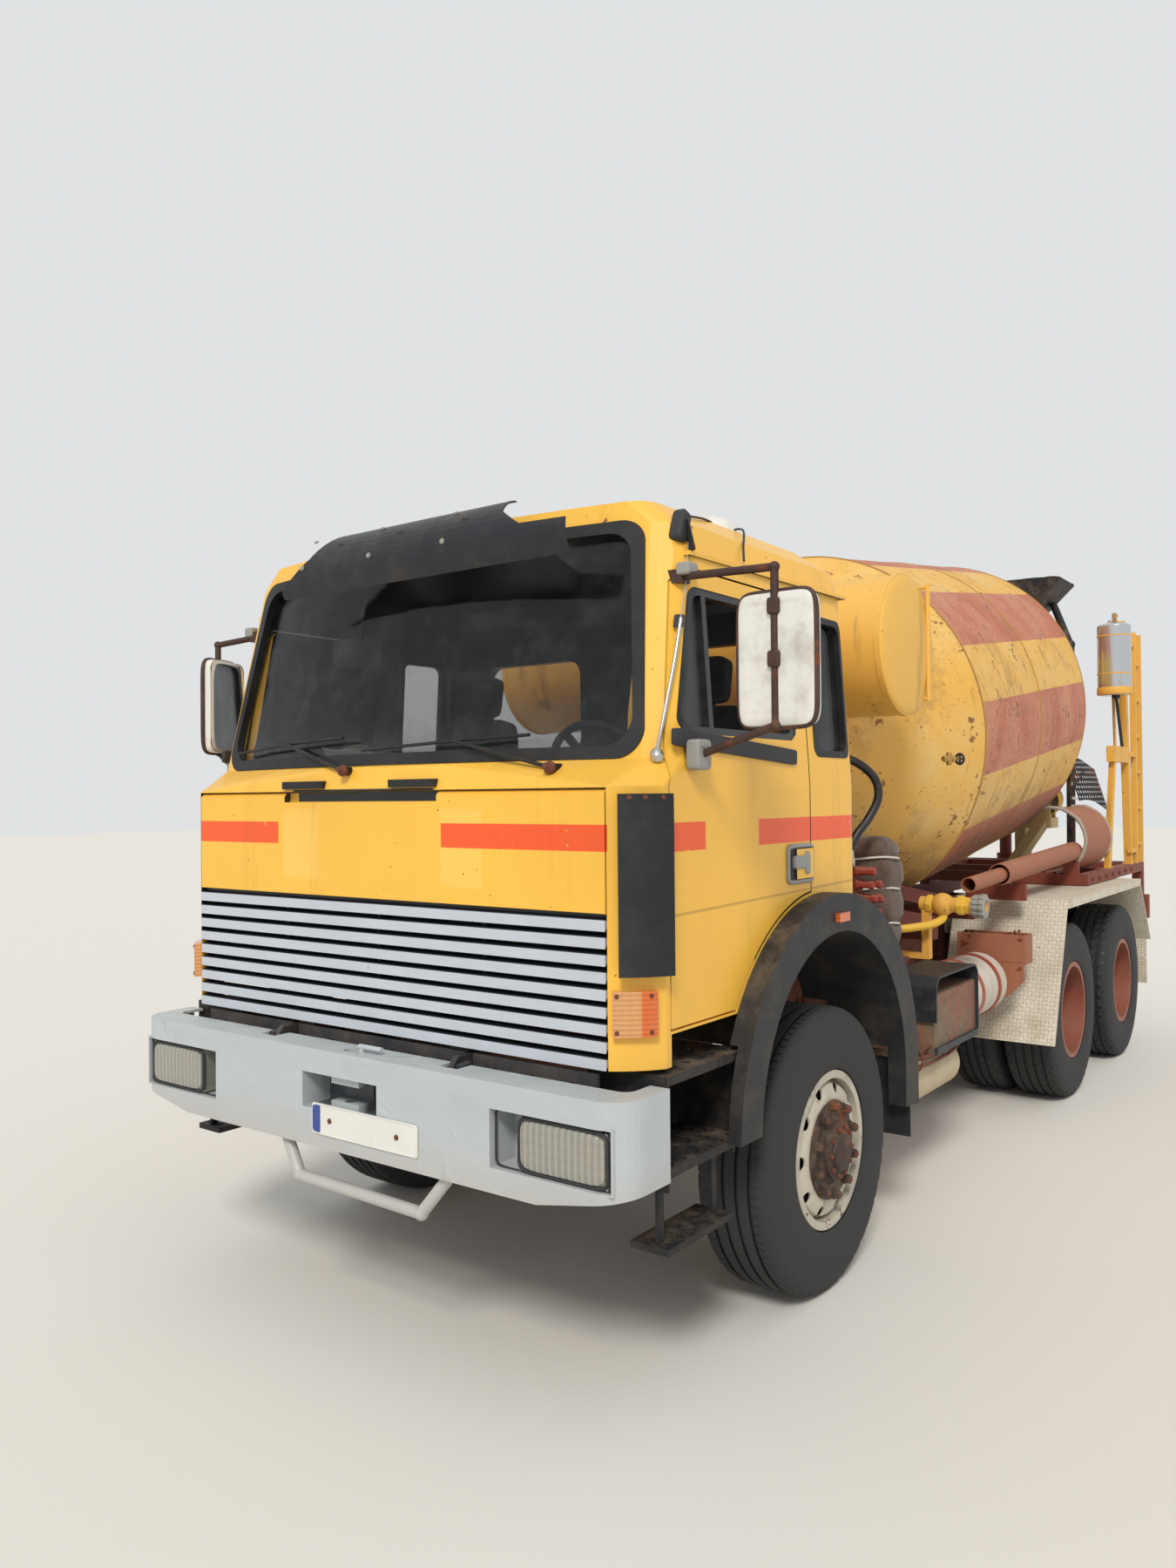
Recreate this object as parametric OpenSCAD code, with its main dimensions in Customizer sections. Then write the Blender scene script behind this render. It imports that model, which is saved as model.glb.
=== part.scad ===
// Concrete mixer truck: cab-over, three axles, rear-discharge drum.
// The axes are +X forward, +Y to the left and +Z up, in millimetres.
// Sizes along X are measured from the front axle, so ahead of it is positive.

/* [Frame and axles] */
// Distance from the origin to the front axle
front_axle_x = 2515; // [2000:10:3000]
// Front axle to first rear axle
wheelbase = 3500; // [3300:10:4200]
// Distance between the two rear axles
bogie = 1380; // [1300:10:1450]
// Half the distance over the outsides of the frame rails
frame_half = 430; // [380:5:450]
// Height of the rails' top face
frame_top = 1060; // [1000:5:1100]
// Depth of a rail
frame_depth = 260; // [200:5:280]
// Width of a rail's flange
flange_w = 80; // [60:2:100]
// Rear end of the rails behind the front axle
frame_rear = 6050; // [5800:10:6200]
// Depth of the mixer's subframe on the rails
subframe_depth = 90; // [60:5:100]

/* [Wheels] */
// Radius over the tread
wheel_r = 538; // [500:1:560]
// Width of a tyre
tyre_w = 300; // [270:2:310]
// Radius of the rim's flange
rim_r = 298; // [280:1:310]
// Radius on which the beads sit
bead_r = 285; // [270:1:290]
// Middle of a front tyre from the centre line
front_track = 1030; // [1000:5:1060]
// Middle of an outer rear tyre from the centre line
outer_track = 1065; // [1040:5:1090]
// Distance between twin tyres' middles
twin_pitch = 345; // [335:1:360]
// Kingpin from the centre line
kingpin_y = 770; // [740:5:780]

/* [Cab] */
// Front of the cab ahead of the front axle
cab_front = 1262; // [1200:2:1300]
// Rear wall behind the front axle
cab_rear = 370; // [300:5:420]
// Half width of the cab
cab_half = 1155; // [1100:5:1200]
// Underside of the cab's floor
cab_floor = 1165; // [1150:5:1200]
// Height of the belt line under the windscreen
belt_z = 1930; // [1880:5:1980]
// Height of the roof at its gutter
gutter_z = 2700; // [2600:5:2750]
// Height of the roof's crown
roof_z = 2885; // [2830:5:2900]
// Thickness of walls and doors
wall = 55; // [40:1:60]
// Gap round a door
door_gap = 7; // [6:0.5:10]
// Front edge of a door ahead of the axle
door_front = 1100; // [1080:2:1110]
// Rear edge of a door ahead of the axle
door_rear = 120; // [100:2:200]
// Radius of the arch's outer edge
arch_r = 785; // [760:5:790]
// Radius of the arch's opening
arch_in = 640; // [625:5:650]
// Height of the arch's centre
arch_z = 740; // [720:5:760]

/* [Front panel] */
// Underside of the grille
grille_bottom = 1065; // [1060:1:1080]
// Joint of the grille and the yellow panel
grille_top = 1541; // [1500:1:1560]
// Top edge of the flap
flap_top = 1922; // [1900:1:1925]
// Half width of the flap
flap_half = 1022; // [1000:1:1025]
// Thickness of the flap
flap_t = 50; // [40:1:52]
// Number of slats
slats = 9; // [7:1:11]

/* [Bumper] */
// Front face ahead of the axle
bumper_front = 1430; // [1400:2:1450]
// Underside
bumper_bottom = 680; // [660:2:720]
// Top
bumper_top = 1022; // [980:2:1030]
// Half width
bumper_half = 1200; // [1180:2:1220]
// Thickness of the bumper's steel
bumper_t = 10; // [6:1:14]

/* [Drum] */
// Largest radius of the drum
drum_r = 1070; // [1000:5:1090]
// Tilt of the drum's axis, in degrees
drum_tilt = 7.3; // [6:0.1:8]
// Front seam behind the front axle
drum_x = 2262; // [2250:2:2300]
// Height of the axis at the front seam
drum_z = 2250; // [2240:2:2300]
// Length of the front cone
drum_front_l = 820; // [780:5:830]
// Length of the cylinder
drum_mid_l = 2230; // [2000:10:2300]
// Length of the rear cone
drum_rear_l = 1400; // [1300:10:1450]
// Radius of the front head
drum_head_r = 600; // [560:5:610]
// Radius of the mouth
drum_mouth_r = 560; // [500:5:580]
// Place of the running ring behind the front seam
ring_s = 3000; // [2900:10:3100]
// Width of the running ring
ring_w = 90; // [70:2:100]
// Radius of a support roller
roller_r = 110; // [90:2:120]

/* [Water tank] */
// Radius of the tank
tank_r = 325; // [280:5:330]
// Middle of the tank behind the front axle
tank_x = 1040; // [1000:5:1050]
// Height of the tank's axis
tank_z = 2590; // [2580:5:2700]
// Half length of the tank's barrel
tank_half = 1070; // [900:5:1080]

/* [Hidden] */
$fn = 48;
touch = 0.3;
axle_z = wheel_r;
rear_1 = -wheelbase;
rear_2 = -wheelbase - bogie;
frame_bottom = frame_top - frame_depth;
subframe_top = frame_top + subframe_depth;
rail_t = 10;

// Points of an arc of radius r round [cx, cy] from angle a to angle b.
function arc(cx, cy, r, a, b, n = 8) = [for (i = [0:n]) let(t = a + (b - a) * i / n) [cx + r * cos(t),
    cy + r * sin(t)]];
// Rounded rectangle from [x0, y0] to [x1, y1].
function rounded(x0, y0, x1, y1, r, n = 5) = concat(arc(x1 - r, y1 - r, r, 0, 90, n), arc(x0 + r, y1 - r,
    r, 90, 180, n),
    arc(x0 + r, y0 + r, r, 180, 270, n), arc(x1 - r, y0 + r, r, 270, 360, n));

// Moves the children from front-axle sizes to the part's own frame.
// The right mirror is folded in, so the middle of the box lies this far beside the truck's middle.
side_shift = -123;
module place() { translate([front_axle_x, side_shift, 0]) children(); }
// Box given by its lowest and highest corners.
module block(lo, hi) { translate(lo) cube([for (i = [0:2]) hi[i] - lo[i]]); }
// Round bar from point a to point b.
module bar(a, b, r, fn = 24) {
    d = b - a;
    translate(a) rotate([0, 0, atan2(d[1], d[0])]) rotate([0, acos(d[2] / norm(d)), 0]) cylinder(r = r,
        h = norm(d), $fn = fn);
}
// Box beam from point a to point b, w wide and h deep.
module beam(a, b, w, h) {
    d = b - a;
    translate(a) rotate([0, 0, atan2(d[1], d[0])]) rotate([0, acos(d[2] / norm(d)), 0])
        translate([-h / 2, -w / 2, 0]) cube([h, w, norm(d)]);
}
// Extrudes an X-Z outline from y0 to y1.
module across(y0, y1) { translate([0, y1, 0]) rotate([90, 0, 0]) linear_extrude(y1 - y0) children(); }
// Extrudes a Y-Z outline from x0 to x1.
module along(x0, x1) { translate([x0, 0, 0]) rotate([90, 0, 90]) linear_extrude(x1 - x0) children(); }
// Turns a profile of [radius, outward y] about a wheel's axle at x, on side s.
module on_axle(x, y, s) { translate([x, s * y, axle_z]) rotate([-90 * s, 0, 0]) children(); }
module both() { children(); mirror([0, 1, 0]) children(); }

// Chassis: two channel rails, cross members and the front end that carries the cab's pivots.
cross_x = [1215, -820, -1600, -2700, -4180, -5500, 60 - frame_rear];
pivot_x = 1310;
pivot_z = 1000;
pivot_r = 20;
lug_y = 480;
panel_x = 1239;
module rail() {
    along(-frame_rear, 1240) polygon([[frame_half - flange_w, frame_bottom], [frame_half, frame_bottom],
        [frame_half, frame_top], [frame_half - flange_w, frame_top], [frame_half - flange_w,
            frame_top - rail_t],
        [frame_half - rail_t, frame_top - rail_t], [frame_half - rail_t, frame_bottom + rail_t],
        [frame_half - flange_w, frame_bottom + rail_t]]);
}
module cab_lug_chassis() {
    across(lug_y - 15, lug_y + 15) polygon([[1200, 820], [1240, 820], [pivot_x + 30, pivot_z - 10],
        [pivot_x + 25, pivot_z + 25], [pivot_x - 20, pivot_z + 30], [1200, 960]]);
    translate([pivot_x, lug_y - 50, pivot_z]) rotate([-90, 0, 0]) cylinder(r = pivot_r, h = 40);
    block([1180, frame_half - 1, 820], [1240, lug_y + 15, 960]);
}
module chassis_frame() color("#5a3a34") place() {
    both() { rail(); cab_lug_chassis(); }
    for (x = cross_x)
        difference() {
            block([x - 30, -frame_half + rail_t, frame_bottom + 90], [x + 30, frame_half - rail_t,
                frame_top - 40]);
            block([x - 22, -frame_half + 30, frame_bottom + 100], [x + 31, frame_half - 30,
                frame_top - 50]);
        }
    // Slotted panel that shows between the grille and the bumper.
    difference() {
        block([panel_x, -980, 930], [panel_x + 12, 980, 1048]);
        for (y = [-880:160:880]) translate([panel_x - 1, y, 985]) rotate([0, 90, 0]) cylinder(r = 26,
            h = 20);
        both() block([panel_x - 1, lug_y - 52, 920], [panel_x + 13, lug_y - 15, 1050]);
    }
    both() block([panel_x, 350, 860], [panel_x + 12, 700, 931]);
}

// Axles: the dropped front beam and two driven rear axles with their differentials.
boss_r = 45;
boss_h = 120;
tube_r = 85;
tube_y = 548;
stub_r = 60;
nose = 340;
module axles() color("#3b332e") place() {
    block([-55, -700, 430], [55, 700, 520]);
    both() {
        block([-50, 640, axle_z - boss_h / 2 + 2], [50, kingpin_y - 20, axle_z + boss_h / 2 - 2]);
        translate([0, kingpin_y, axle_z - boss_h / 2]) cylinder(r = boss_r, h = boss_h);
    }
    for (x = [rear_1, rear_2]) {
        both() translate([x, 0, 0]) {
            on_axle(0, 0, 1) cylinder(r = tube_r, h = tube_y);
            on_axle(0, tube_y - 1, 1) cylinder(r = stub_r, h = 152);
        }
        difference() {
            translate([x, 0, axle_z]) sphere(r = 225);
            block([x - 300, -300, axle_z + 190], [x + 300, 300, axle_z + 300]);
        }
        translate([x + 150, 0, axle_z + 60]) rotate([0, 90, 0]) cylinder(r = 90, h = nose - 150);
    }
    translate([rear_1 - 260, 0, axle_z]) rotate([0, 90, 0]) cylinder(r = 70, h = 80);
}

// Leaf springs: bowed packs clamped on the axles, with their hangers on the rails.
spring_y = 480;
spring_w = 76;
module leaf_pack(x, half, seat, sag, leaves) {
    for (i = [0:leaves - 1])
        across(spring_y - spring_w / 2, spring_y + spring_w / 2)
            polygon([[x - half + i * 95, seat + sag - i * sag * 0.14 + 14 * i], [x, seat + 14 * i],
                [x + half - i * 95, seat + sag - i * sag * 0.14 + 14 * i], [x + half - i * 95,
                    seat + sag - i * sag * 0.14 + 14 * (i + 1)],
                [x, seat + 14 * (i + 1)], [x - half + i * 95, seat + sag - i * sag * 0.14 + 14 * (i + 1)]]);
}
module leaf_springs() color("#2f2b2a") place() {
    both() {
        leaf_pack(0, 700, 520, 190, 5);
        for (x = [-700, 700]) block([x - 25, frame_half, 695], [x + 25, frame_half + 88, 830]);
        block([-60, spring_y - 50, 590], [60, spring_y + 50, 610]);
        leaf_pack((rear_1 + rear_2) / 2, bogie / 2 + 40, 700, -80, 6);
        block([(rear_1 + rear_2) / 2 - 90, frame_half, 770], [(rear_1 + rear_2) / 2 + 90,
            frame_half + 88, 900]);
    }
}

// Engine and gearbox as plain masses at their real place.
engine_half = 320;
module engine_block() color("#444444") place() {
    block([-300, -engine_half, 560], [1120, engine_half, 1130]);
    block([-780, -190, 640], [-300, 190, 1000]);
}
// Propeller shafts from the gearbox to the first rear axle and on to the second.
module driveline() color("#4a2f28") place() {
    // [start, end] of each shaft; a flange closes each end.
    shafts = [[[-792, 0, 800], [-1600, 0, 760]], [[-1600, 0, 760], [rear_1 + nose + 12, 0, axle_z + 60]],
        [[rear_1 - 272, 0, axle_z], [rear_2 + nose + 12, 0, axle_z + 60]]];
    for (p = shafts) bar(p[0], p[1], 45);
    for (f = [[-796, 800], [rear_1 + nose + touch, axle_z + 60], [rear_1 - 276, axle_z],
        [rear_2 + nose + touch, axle_z + 60]])
        translate([f[0], 0, f[1]]) rotate([0, 90, 0]) cylinder(r = 62, h = 16 - touch);
    translate([-1600, 0, 760]) sphere(r = 70);
    block([-1630, -60, 829 - 10], [-1570, 60, frame_bottom + 90]);
}

// Fuel tank on the right and the two small tanks under the battery box on the left.
fuel_x = [-1900, -850];
module side_tanks() color("#c9bda0") place() {
    difference() {
        along(fuel_x[0], fuel_x[1]) polygon(rounded(-1130, 560, -frame_half - 60, 1040, 90));
    }
    for (x = [-1650, -1100]) block([x - 30, -frame_half - 61, 640], [x + 30, -frame_half, 980]);
    for (y = [690, 1010]) {
        for (x = [-1550, -1200]) block([x - 15, y - 25, 660], [x + 15, y + 25, 690]);
        translate([-1600, y, 560]) rotate([0, 90, 0]) cylinder(r = 118, h = 820);
        for (x = [-1600, -780]) translate([x, y, 560]) scale([0.35, 1, 1]) sphere(r = 117);
    }
}
// Battery box: a red tray under a bent black cover, open at its front.
module battery_box() color("#23272b") place() {
    cover_x = [-1700, -1120];
    cover_y = [940, 1190];
    across(cover_y[0], cover_y[1])
        polygon(concat(arc(cover_x[1] - 60, 980, 70, 0, 90), arc(cover_x[0] + 60, 980, 70, 90, 180),
            [[cover_x[0] - 10, 720], [cover_x[0], 720], [cover_x[0], 980]], arc(cover_x[0] + 60, 980, 60,
                180, 90),
            arc(cover_x[1] - 60, 980, 60, 90, 0), [[cover_x[1], 840], [cover_x[1] + 10, 840]]));
    block([cover_x[0] + 10, 960, 720], [cover_x[1] - 10, 1170, 960]);
    block([cover_x[0], frame_half, 690], [cover_x[1], 1190, 720]);
    block([cover_x[0] + 20, frame_half, 720], [cover_x[0] + 90, 960, 780]);
}
// White banded cylinder behind the battery box.
module air_cylinder() color("#d9d5cc") place() {
    x = [-2650, -1790];
    translate([x[0], 880, 800]) rotate([0, 90, 0]) cylinder(r = 170, h = x[1] - x[0]);
    for (i = [0:2]) translate([x[0] + 120 + i * 290, 880, 800]) rotate([0, 90, 0]) cylinder(r = 178,
        h = 28);
    for (e = x) translate([e, 880, 800]) scale([0.3, 1, 1]) sphere(r = 169);
    for (q = [-2500, -1950]) block([q - 30, frame_half, 770], [q + 30, 740, 830]);
}

// Bumper: one bent steel section with its ends turned back, lamp recesses and the towing eye.
lamp_y = [695, 1150];
lamp_z = [758, 940];
tow_half = 190;
tow_z = [812, 936];
tow_r = 22;
tow_x = 1370;
// Pin's hole, open through the bumper's top.
// Hole for the towing pin, wider above the jaw than in it.
module tow_hole(r, low) { translate([tow_x, 0, low]) cylinder(r = r, h = 300); }
module bumper_plan(out) {
    polygon(concat(arc(bumper_front - 110, bumper_half - 110, 110 + out, 0, 90), [[1185,
        bumper_half + out]],
        [[1185, -bumper_half - out]], arc(bumper_front - 110, -bumper_half + 110, 110 + out, -90, 0)));
}
module bumper() color("#aeb1b4") place() {
    difference() {
        translate([0, 0, bumper_bottom]) linear_extrude(bumper_top - bumper_bottom) bumper_plan(0);
        translate([0, 0, bumper_bottom + 40]) linear_extrude(bumper_top - bumper_bottom - 50) bumper_plan(-bumper_t);
        translate([0, 0, bumper_bottom - 1]) linear_extrude(bumper_top) translate([-60,
            0]) bumper_plan(-70);
        block([1000, -2000, 600], [1184, 2000, 1100]);
        both() block([bumper_front - 100, lamp_y[0], lamp_z[0]], [bumper_front + 10, lamp_y[1], lamp_z[1]]);
        block([bumper_front - 100, -tow_half, tow_z[0]], [bumper_front + 10, tow_half, tow_z[1]]);
        tow_hole(tow_r + 4, tow_z[1] - 2);
        // Room for the cab's pivots.
        both() block([1290, lug_y - 60, bumper_top - 20], [pivot_x + 58, lug_y + 22, bumper_top + 5]);
        // The underside rises towards the ends.
        both() along(1100, 1500) polygon([[bumper_half - 350, bumper_bottom - 5], [bumper_half + 50,
            bumper_bottom - 5],
            [bumper_half + 50, bumper_bottom + 70]]);
    }
    // Lamp boxes and the towing recess.
    both() difference() {
        block([1300, lamp_y[0] - 6, lamp_z[0] - 6], [bumper_front - 8, lamp_y[1] + 6, lamp_z[1] + 6]);
        block([1306, lamp_y[0], lamp_z[0]], [bumper_front, lamp_y[1], lamp_z[1]]);
    }
    difference() {
        block([1300, -tow_half - 6, tow_z[0] - 6], [bumper_front - 8, tow_half + 6, tow_z[1] + 6]);
        block([1306, -tow_half, tow_z[0]], [bumper_front, tow_half, tow_z[1]]);
        tow_hole(tow_r + 4, tow_z[1] - 2);
    }
    // Jaw: two posts with a pin hole, and the pin's T handle over the bumper.
    difference() {
        block([1306, -70, tow_z[0]], [1400, 70, tow_z[1]]);
        block([1330, -71, tow_z[0] + 32], [1401, 71, tow_z[1] - 32]);
        tow_hole(tow_r, tow_z[0] - 1);
    }
    bar([tow_x, 2 * tow_r, bumper_top + 18], [tow_x, 2 * tow_r + 110, bumper_top + 18], 9);
    translate([tow_x, 2 * tow_r + 12, bumper_top]) cylinder(r = 9, h = 18);
    // Brackets back to the rails.
    both() block([panel_x + 12 + touch, 360, 760], [1306, 420, 930]);
    // Step of bent tube.
    step = [[1380, -350, bumper_bottom + 20], [1400, -240, 552], [1400, 370, 540], [1380, 500,
        bumper_bottom + 20]];
    for (i = [0:2]) bar(step[i], step[i + 1], 21);
    for (i = [1:2]) translate(step[i]) sphere(r = 24);
}
// Headlamps in the bumper and lamp clusters on the tail bar.
module lamps() color("#e8e4d0") place() {
    both() {
        block([1330, 800, lamp_z[0] + 6], [1410, 1130, lamp_z[1] - 12]);
        block([1306, 850, lamp_z[0] + 40], [1330, 1080, lamp_z[1] - 50]);
        block([-6230, 700, 905], [-6190.3, 1100, 1035]);
    }
}

// Cab steps: perforated treads between two plates, with a hanging lower step on straps.
step_x = [690, 1170];
step_z = [[1050, 900], [770, 930]];
module tread(z, y0, t = 30) {
    difference() {
        block([step_x[0], y0, z - t], [step_x[1], 1180, z]);
        for (x = [step_x[0] + 50:76:step_x[1] - 30]) for (y = [y0 + 60:80:1150])
            translate([x, y, z - t - 1]) cylinder(r = 17, h = t + 2, $fn = 16);
    }
}
module cab_steps() color("#1b1c1e") place() both() {
    for (s = step_z) tread(s[0], s[1]);
    block([step_x[0], 880, 700], [step_x[0] + 12, 1140, 1050]);
    block([step_x[1] - 12, 880, 700], [step_x[1], 1180, 1050]);
    block([step_x[0], 880, 700], [step_x[1], 900, 1050]);
    for (x = [720, 1120]) block([x, frame_half, 930], [x + 40, 880, 990]);
    for (x = [800, 1120]) block([x, 1120, 530], [x + 30, 1132, 760]);
    difference() {
        block([780, 1040, 508], [1170, 1180, 530]);
        for (x = [830:76:1150]) translate([x, 1085, 500]) cylinder(r = 17, h = 40, $fn = 16);
        for (x = [830:76:1150]) translate([x, 1150, 500]) cylinder(r = 12, h = 40, $fn = 16);
    }
}

// Cab outline at a height: [z, front, rear, half width, corner centre's inset, corner radius, bow of the front edge].
screen_foot = [2020, cab_front - 27, cab_rear, cab_half - 5, 130, 130, 130];
cab_levels = [[cab_floor, cab_front, cab_rear, cab_half, 310, 358, 0], [belt_z, cab_front, cab_rear,
    cab_half, 310, 358, 0],
    screen_foot, [gutter_z, cab_front - 177, cab_rear - 8, cab_half - 50, 130, 130, 121],
    [gutter_z + 100, cab_front - 200, cab_rear - 20, cab_half - 75, 120, 120, 110],
    [roof_z, cab_front - 222, cab_rear - 110, cab_half - 185, 100, 100, 85]];
rear_r = 130;
// Outline of one level, drawn in by i: bowed front edge, round front corners, rear corners.
function plan(q, i) = let(x = q[1] - q[6] - q[4], y = q[3] - q[4], r = q[5] - i, a = acos((q[4] - i) / r))
    concat([for (k = [-3:3]) [q[1] - i - q[6] * pow(k / 4, 2), y * k / 4]], arc(x, y, r, a, 90 - a, 6),
        arc(rear_r - q[2], q[3] - rear_r, rear_r - i, 90, 180, 6), arc(rear_r - q[2], rear_r - q[3],
            rear_r - i, 180, 270, 6),
        arc(x, -y, r, 270 + a, 360 - a, 6));
module level(k, i, up) { translate([0, 0,
    cab_levels[k][0] + up]) linear_extrude(1) polygon(plan(cab_levels[k], i)); }
// Cab drawn in by inset: the body up to the windscreen's foot, and the cabin above it.
module cab_solid(inset, lift = 0) {
    hull() { level(0, inset, lift); level(1, inset, 0); level(2, inset, 0); }
    hull() { level(2, inset, 0); level(3, inset, 0); level(4, inset, -inset); level(5, inset, -inset - 1); }
}
// Front surface of the cabin at a place across the cab and a height.
function screen_x(y, z) = let(t = (z - screen_foot[0]) / (gutter_z - screen_foot[0])) cab_front - 27 - 150 * t
    - (130 - 9 * t) * pow(y / (cab_half - 135 - 45 * t), 2);
firewall_x = cab_front - wall - 35;
tunnel_t = 11;
arch_gap = 1;
tunnel_y = 790;
// Slice of the cab's skin between two insets.
module skin(out, in) { difference() { cab_solid(out, -20); cab_solid(in, -30); } }

// Outlines in X-Z of the door and its window, and of the rear quarter window.
door_z = [cab_floor + 15, 2640];
module door_outline(g) {
    difference() {
        polygon([[door_rear - g, door_z[0] - g], [door_front + g, door_z[0] - g], [door_front + g, belt_z],
            [door_front - 38 + g, 2022], [door_front - 152 + g, 2600], [door_front - 195 + g,
                door_z[1] + g],
            [door_rear + 60 - g, door_z[1] + g], [door_rear - g, 2560]]);
        translate([arch_x, arch_z]) circle(r = arch_r + 18 - g, $fn = 96);
    }
}
arch_x = 30;
win_z = [2100, 2585];
win_x = [door_rear + 85, door_front - 90, door_front - 188];
win_r = 45;
module door_window(g) {
    x = [win_x[0] - g + win_r, win_x[1] + g - win_r, win_x[2] + g - win_r];
    z = [win_z[0] - g + win_r, win_z[1] + g - win_r];
    polygon(concat(arc(x[2], z[1], win_r, 10, 90), arc(x[0], z[1], win_r, 90, 180), arc(x[0], z[0],
        win_r, 180, 270),
        arc(x[1], z[0], win_r, 270, 370)));
}
module quarter_window(g) { polygon(rounded(-260 - g, 2045 - g, 60 + g, 2600 + g, 45)); }
ws_half = [cab_half - 103, cab_half - 171];
ws_z = [2020, 2818];
ws_x = 840;
ws_r = 90;
module screen_outline(g) {
    k = [for (i = [0, 1]) ws_half[i] + g - ws_r];
    polygon(concat(arc(k[1], ws_z[1] + g - ws_r, ws_r, 0, 90), arc(-k[1], ws_z[1] + g - ws_r, ws_r, 90,
        180),
        arc(-k[0], ws_z[0] - g + ws_r, ws_r, 180, 270), arc(k[0], ws_z[0] - g + ws_r, ws_r, 270, 360)));
}
// Rear edge of the windscreen's pillars at their foot and head.
pillar_x = [door_front - 30, door_front - 198];
function corner_arc(r, a0, a1) = arc(cab_front - 310, cab_half - 310, r, a0, a1, 8);
module rear_window(g) { for (m = [0, 1]) mirror([m, 0]) polygon(rounded(250 - g, 2120 - g, 850 + g,
    2560 + g, 70)); }

module cab_shell() color("#e8b53a") place() {
    difference() {
        union() {
            difference() {
                cab_solid(0);
                difference() {
                    translate([0, 0, 0.01]) cab_solid(wall, 30);
                    both() across(tunnel_y - 20, 1300) translate([arch_x,
                        arch_z]) circle(r = arch_in + 40, $fn = 96);
                }
            }
            // Corner skirts beside the flap.
            both() difference() {
                translate([0, 0, grille_bottom]) linear_extrude(cab_floor + 1 - grille_bottom)
                    polygon(concat([[cab_front - 110, flap_half + 5], [cab_front - 3, flap_half + 5]],
                        corner_arc(358, 31, 60), [[cab_front - 160, cab_half], [cab_front - 160,
                            cab_half - 40]]));
            }
            // Pivot lugs under the floor.
            both() across(lug_y - 44, lug_y - 22) polygon([[1130, cab_floor + 5], [1130, 1060],
                [pivot_x - 30, pivot_z - 25],
                [pivot_x + 10, pivot_z - 34], [pivot_x + 34, pivot_z], [pivot_x + 20, pivot_z + 30],
                    [1200, cab_floor + 5]]);
            // Wall behind the flap.
            block([firewall_x, -flap_half - 20, cab_floor], [cab_front - flap_t - 10, flap_half + 20,
                belt_z]);
        }
        // Recess for the flap.
        block([cab_front - flap_t - 10, -flap_half - 5, grille_bottom - 20], [cab_front + 50,
            flap_half + 5, flap_top + 6]);
        // Doors, windows, wheel arches and pin holes.
        both() {
            across(cab_half - 200, 1300) door_outline(door_gap);
            across(cab_half - 200, 1300) quarter_window(0);
            across(700, 1300) translate([arch_x, arch_z]) circle(r = arch_in + tunnel_t + arch_gap,
                $fn = 96);
            across(cab_half - 60, 1300) translate([arch_x, arch_z]) circle(r = arch_r + touch, $fn = 96);
            across(lug_y - 60, lug_y - 10) translate([pivot_x, pivot_z]) circle(r = pivot_r + touch);
        }
        difference() {
            along(ws_x, 1400) screen_outline(0);
            // Inner flange of the windscreen's pillars.
            both() intersection() {
                cab_solid(glass_in + glass_t + 2);
                across(1000, 1200) polygon([[pillar_x[0], 2000], [pillar_x[0] + 75, 2000],
                    [pillar_x[1] + 75, 2840],
                    [pillar_x[1], 2840]]);
            }
        }
        along(-500, -200) rear_window(0);
    }
    // Drip rails over the doors.
    both() difference() {
        beam([900, cab_half - 62, gutter_z - 6], [-300, cab_half - 50, gutter_z + 4], 40, 14);
        cab_solid(wall - 20);
    }
}
glass_in = 22;
glass_t = 6;
module cab_glass() color([0.6, 0.7, 0.7, 0.4]) place() {
    intersection() {
        skin(glass_in, glass_in + glass_t);
        union() {
            along(ws_x, 1400) screen_outline(-touch);
            along(-500, -200) rear_window(-touch);
            both() across(cab_half - 200, 1300) quarter_window(-touch);
        }
    }
}
// Wipers: [pivot, middle of the blade, blade's ends], each as [across the cab, height].
wipers = [[[-145, 2000], [-560, 2115], [-960, 2092], [-200, 2126]], [[790, 1992], [360, 2095], [-80,
    2076], [660, 2106]]];
wiper_gap = 16;
function cowl_x(y, z) = let(s = screen_x(y, max(z, screen_foot[0])))
    s + (cab_front - s) * max(0, screen_foot[0] - z) / (screen_foot[0] - belt_z);
function on_screen(q, up) = [cowl_x(q[0], q[1]) + up, q[0], q[1]];
module windscreen_seal() color("#141414") place() {
    intersection() {
        difference() { cab_solid(-6, -20); cab_solid(glass_in - touch, -30); }
        along(ws_x, 1400) difference() { screen_outline(-touch); screen_outline(-42); }
    }
    intersection() {
        difference() { cab_solid(-3, -20); cab_solid(glass_in - touch, -30); }
        both() across(cab_half - 200, 1300) difference() { quarter_window(-touch); quarter_window(-26); }
    }
    // Wipers: arm and blade that lie off the screen, each from its spindle in the cowl.
    for (w = wipers) {
        bar(on_screen(w[0], wiper_gap + 10), on_screen(w[1], wiper_gap + 10), 7, 12);
        for (i = [2, 3]) bar(on_screen(w[1], wiper_gap), on_screen(w[i], wiper_gap), 6, 12);
        difference() {
            translate([1000, w[0][0], w[0][1]]) rotate([0, 90, 0]) cylinder(r = 16, h = cowl_x(w[0][0],
                w[0][1]) + 36 - 1000);
            cab_solid(-touch);
        }
    }
    // Blocks over the flap's hinges.
    difference() {
        for (y = [[-490, -260], [90, 315]]) block([cab_front - 60, y[0], flap_top + 16], [cab_front + 12,
            y[1], flap_top + 44]);
        cab_solid(-touch);
    }
}
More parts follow.
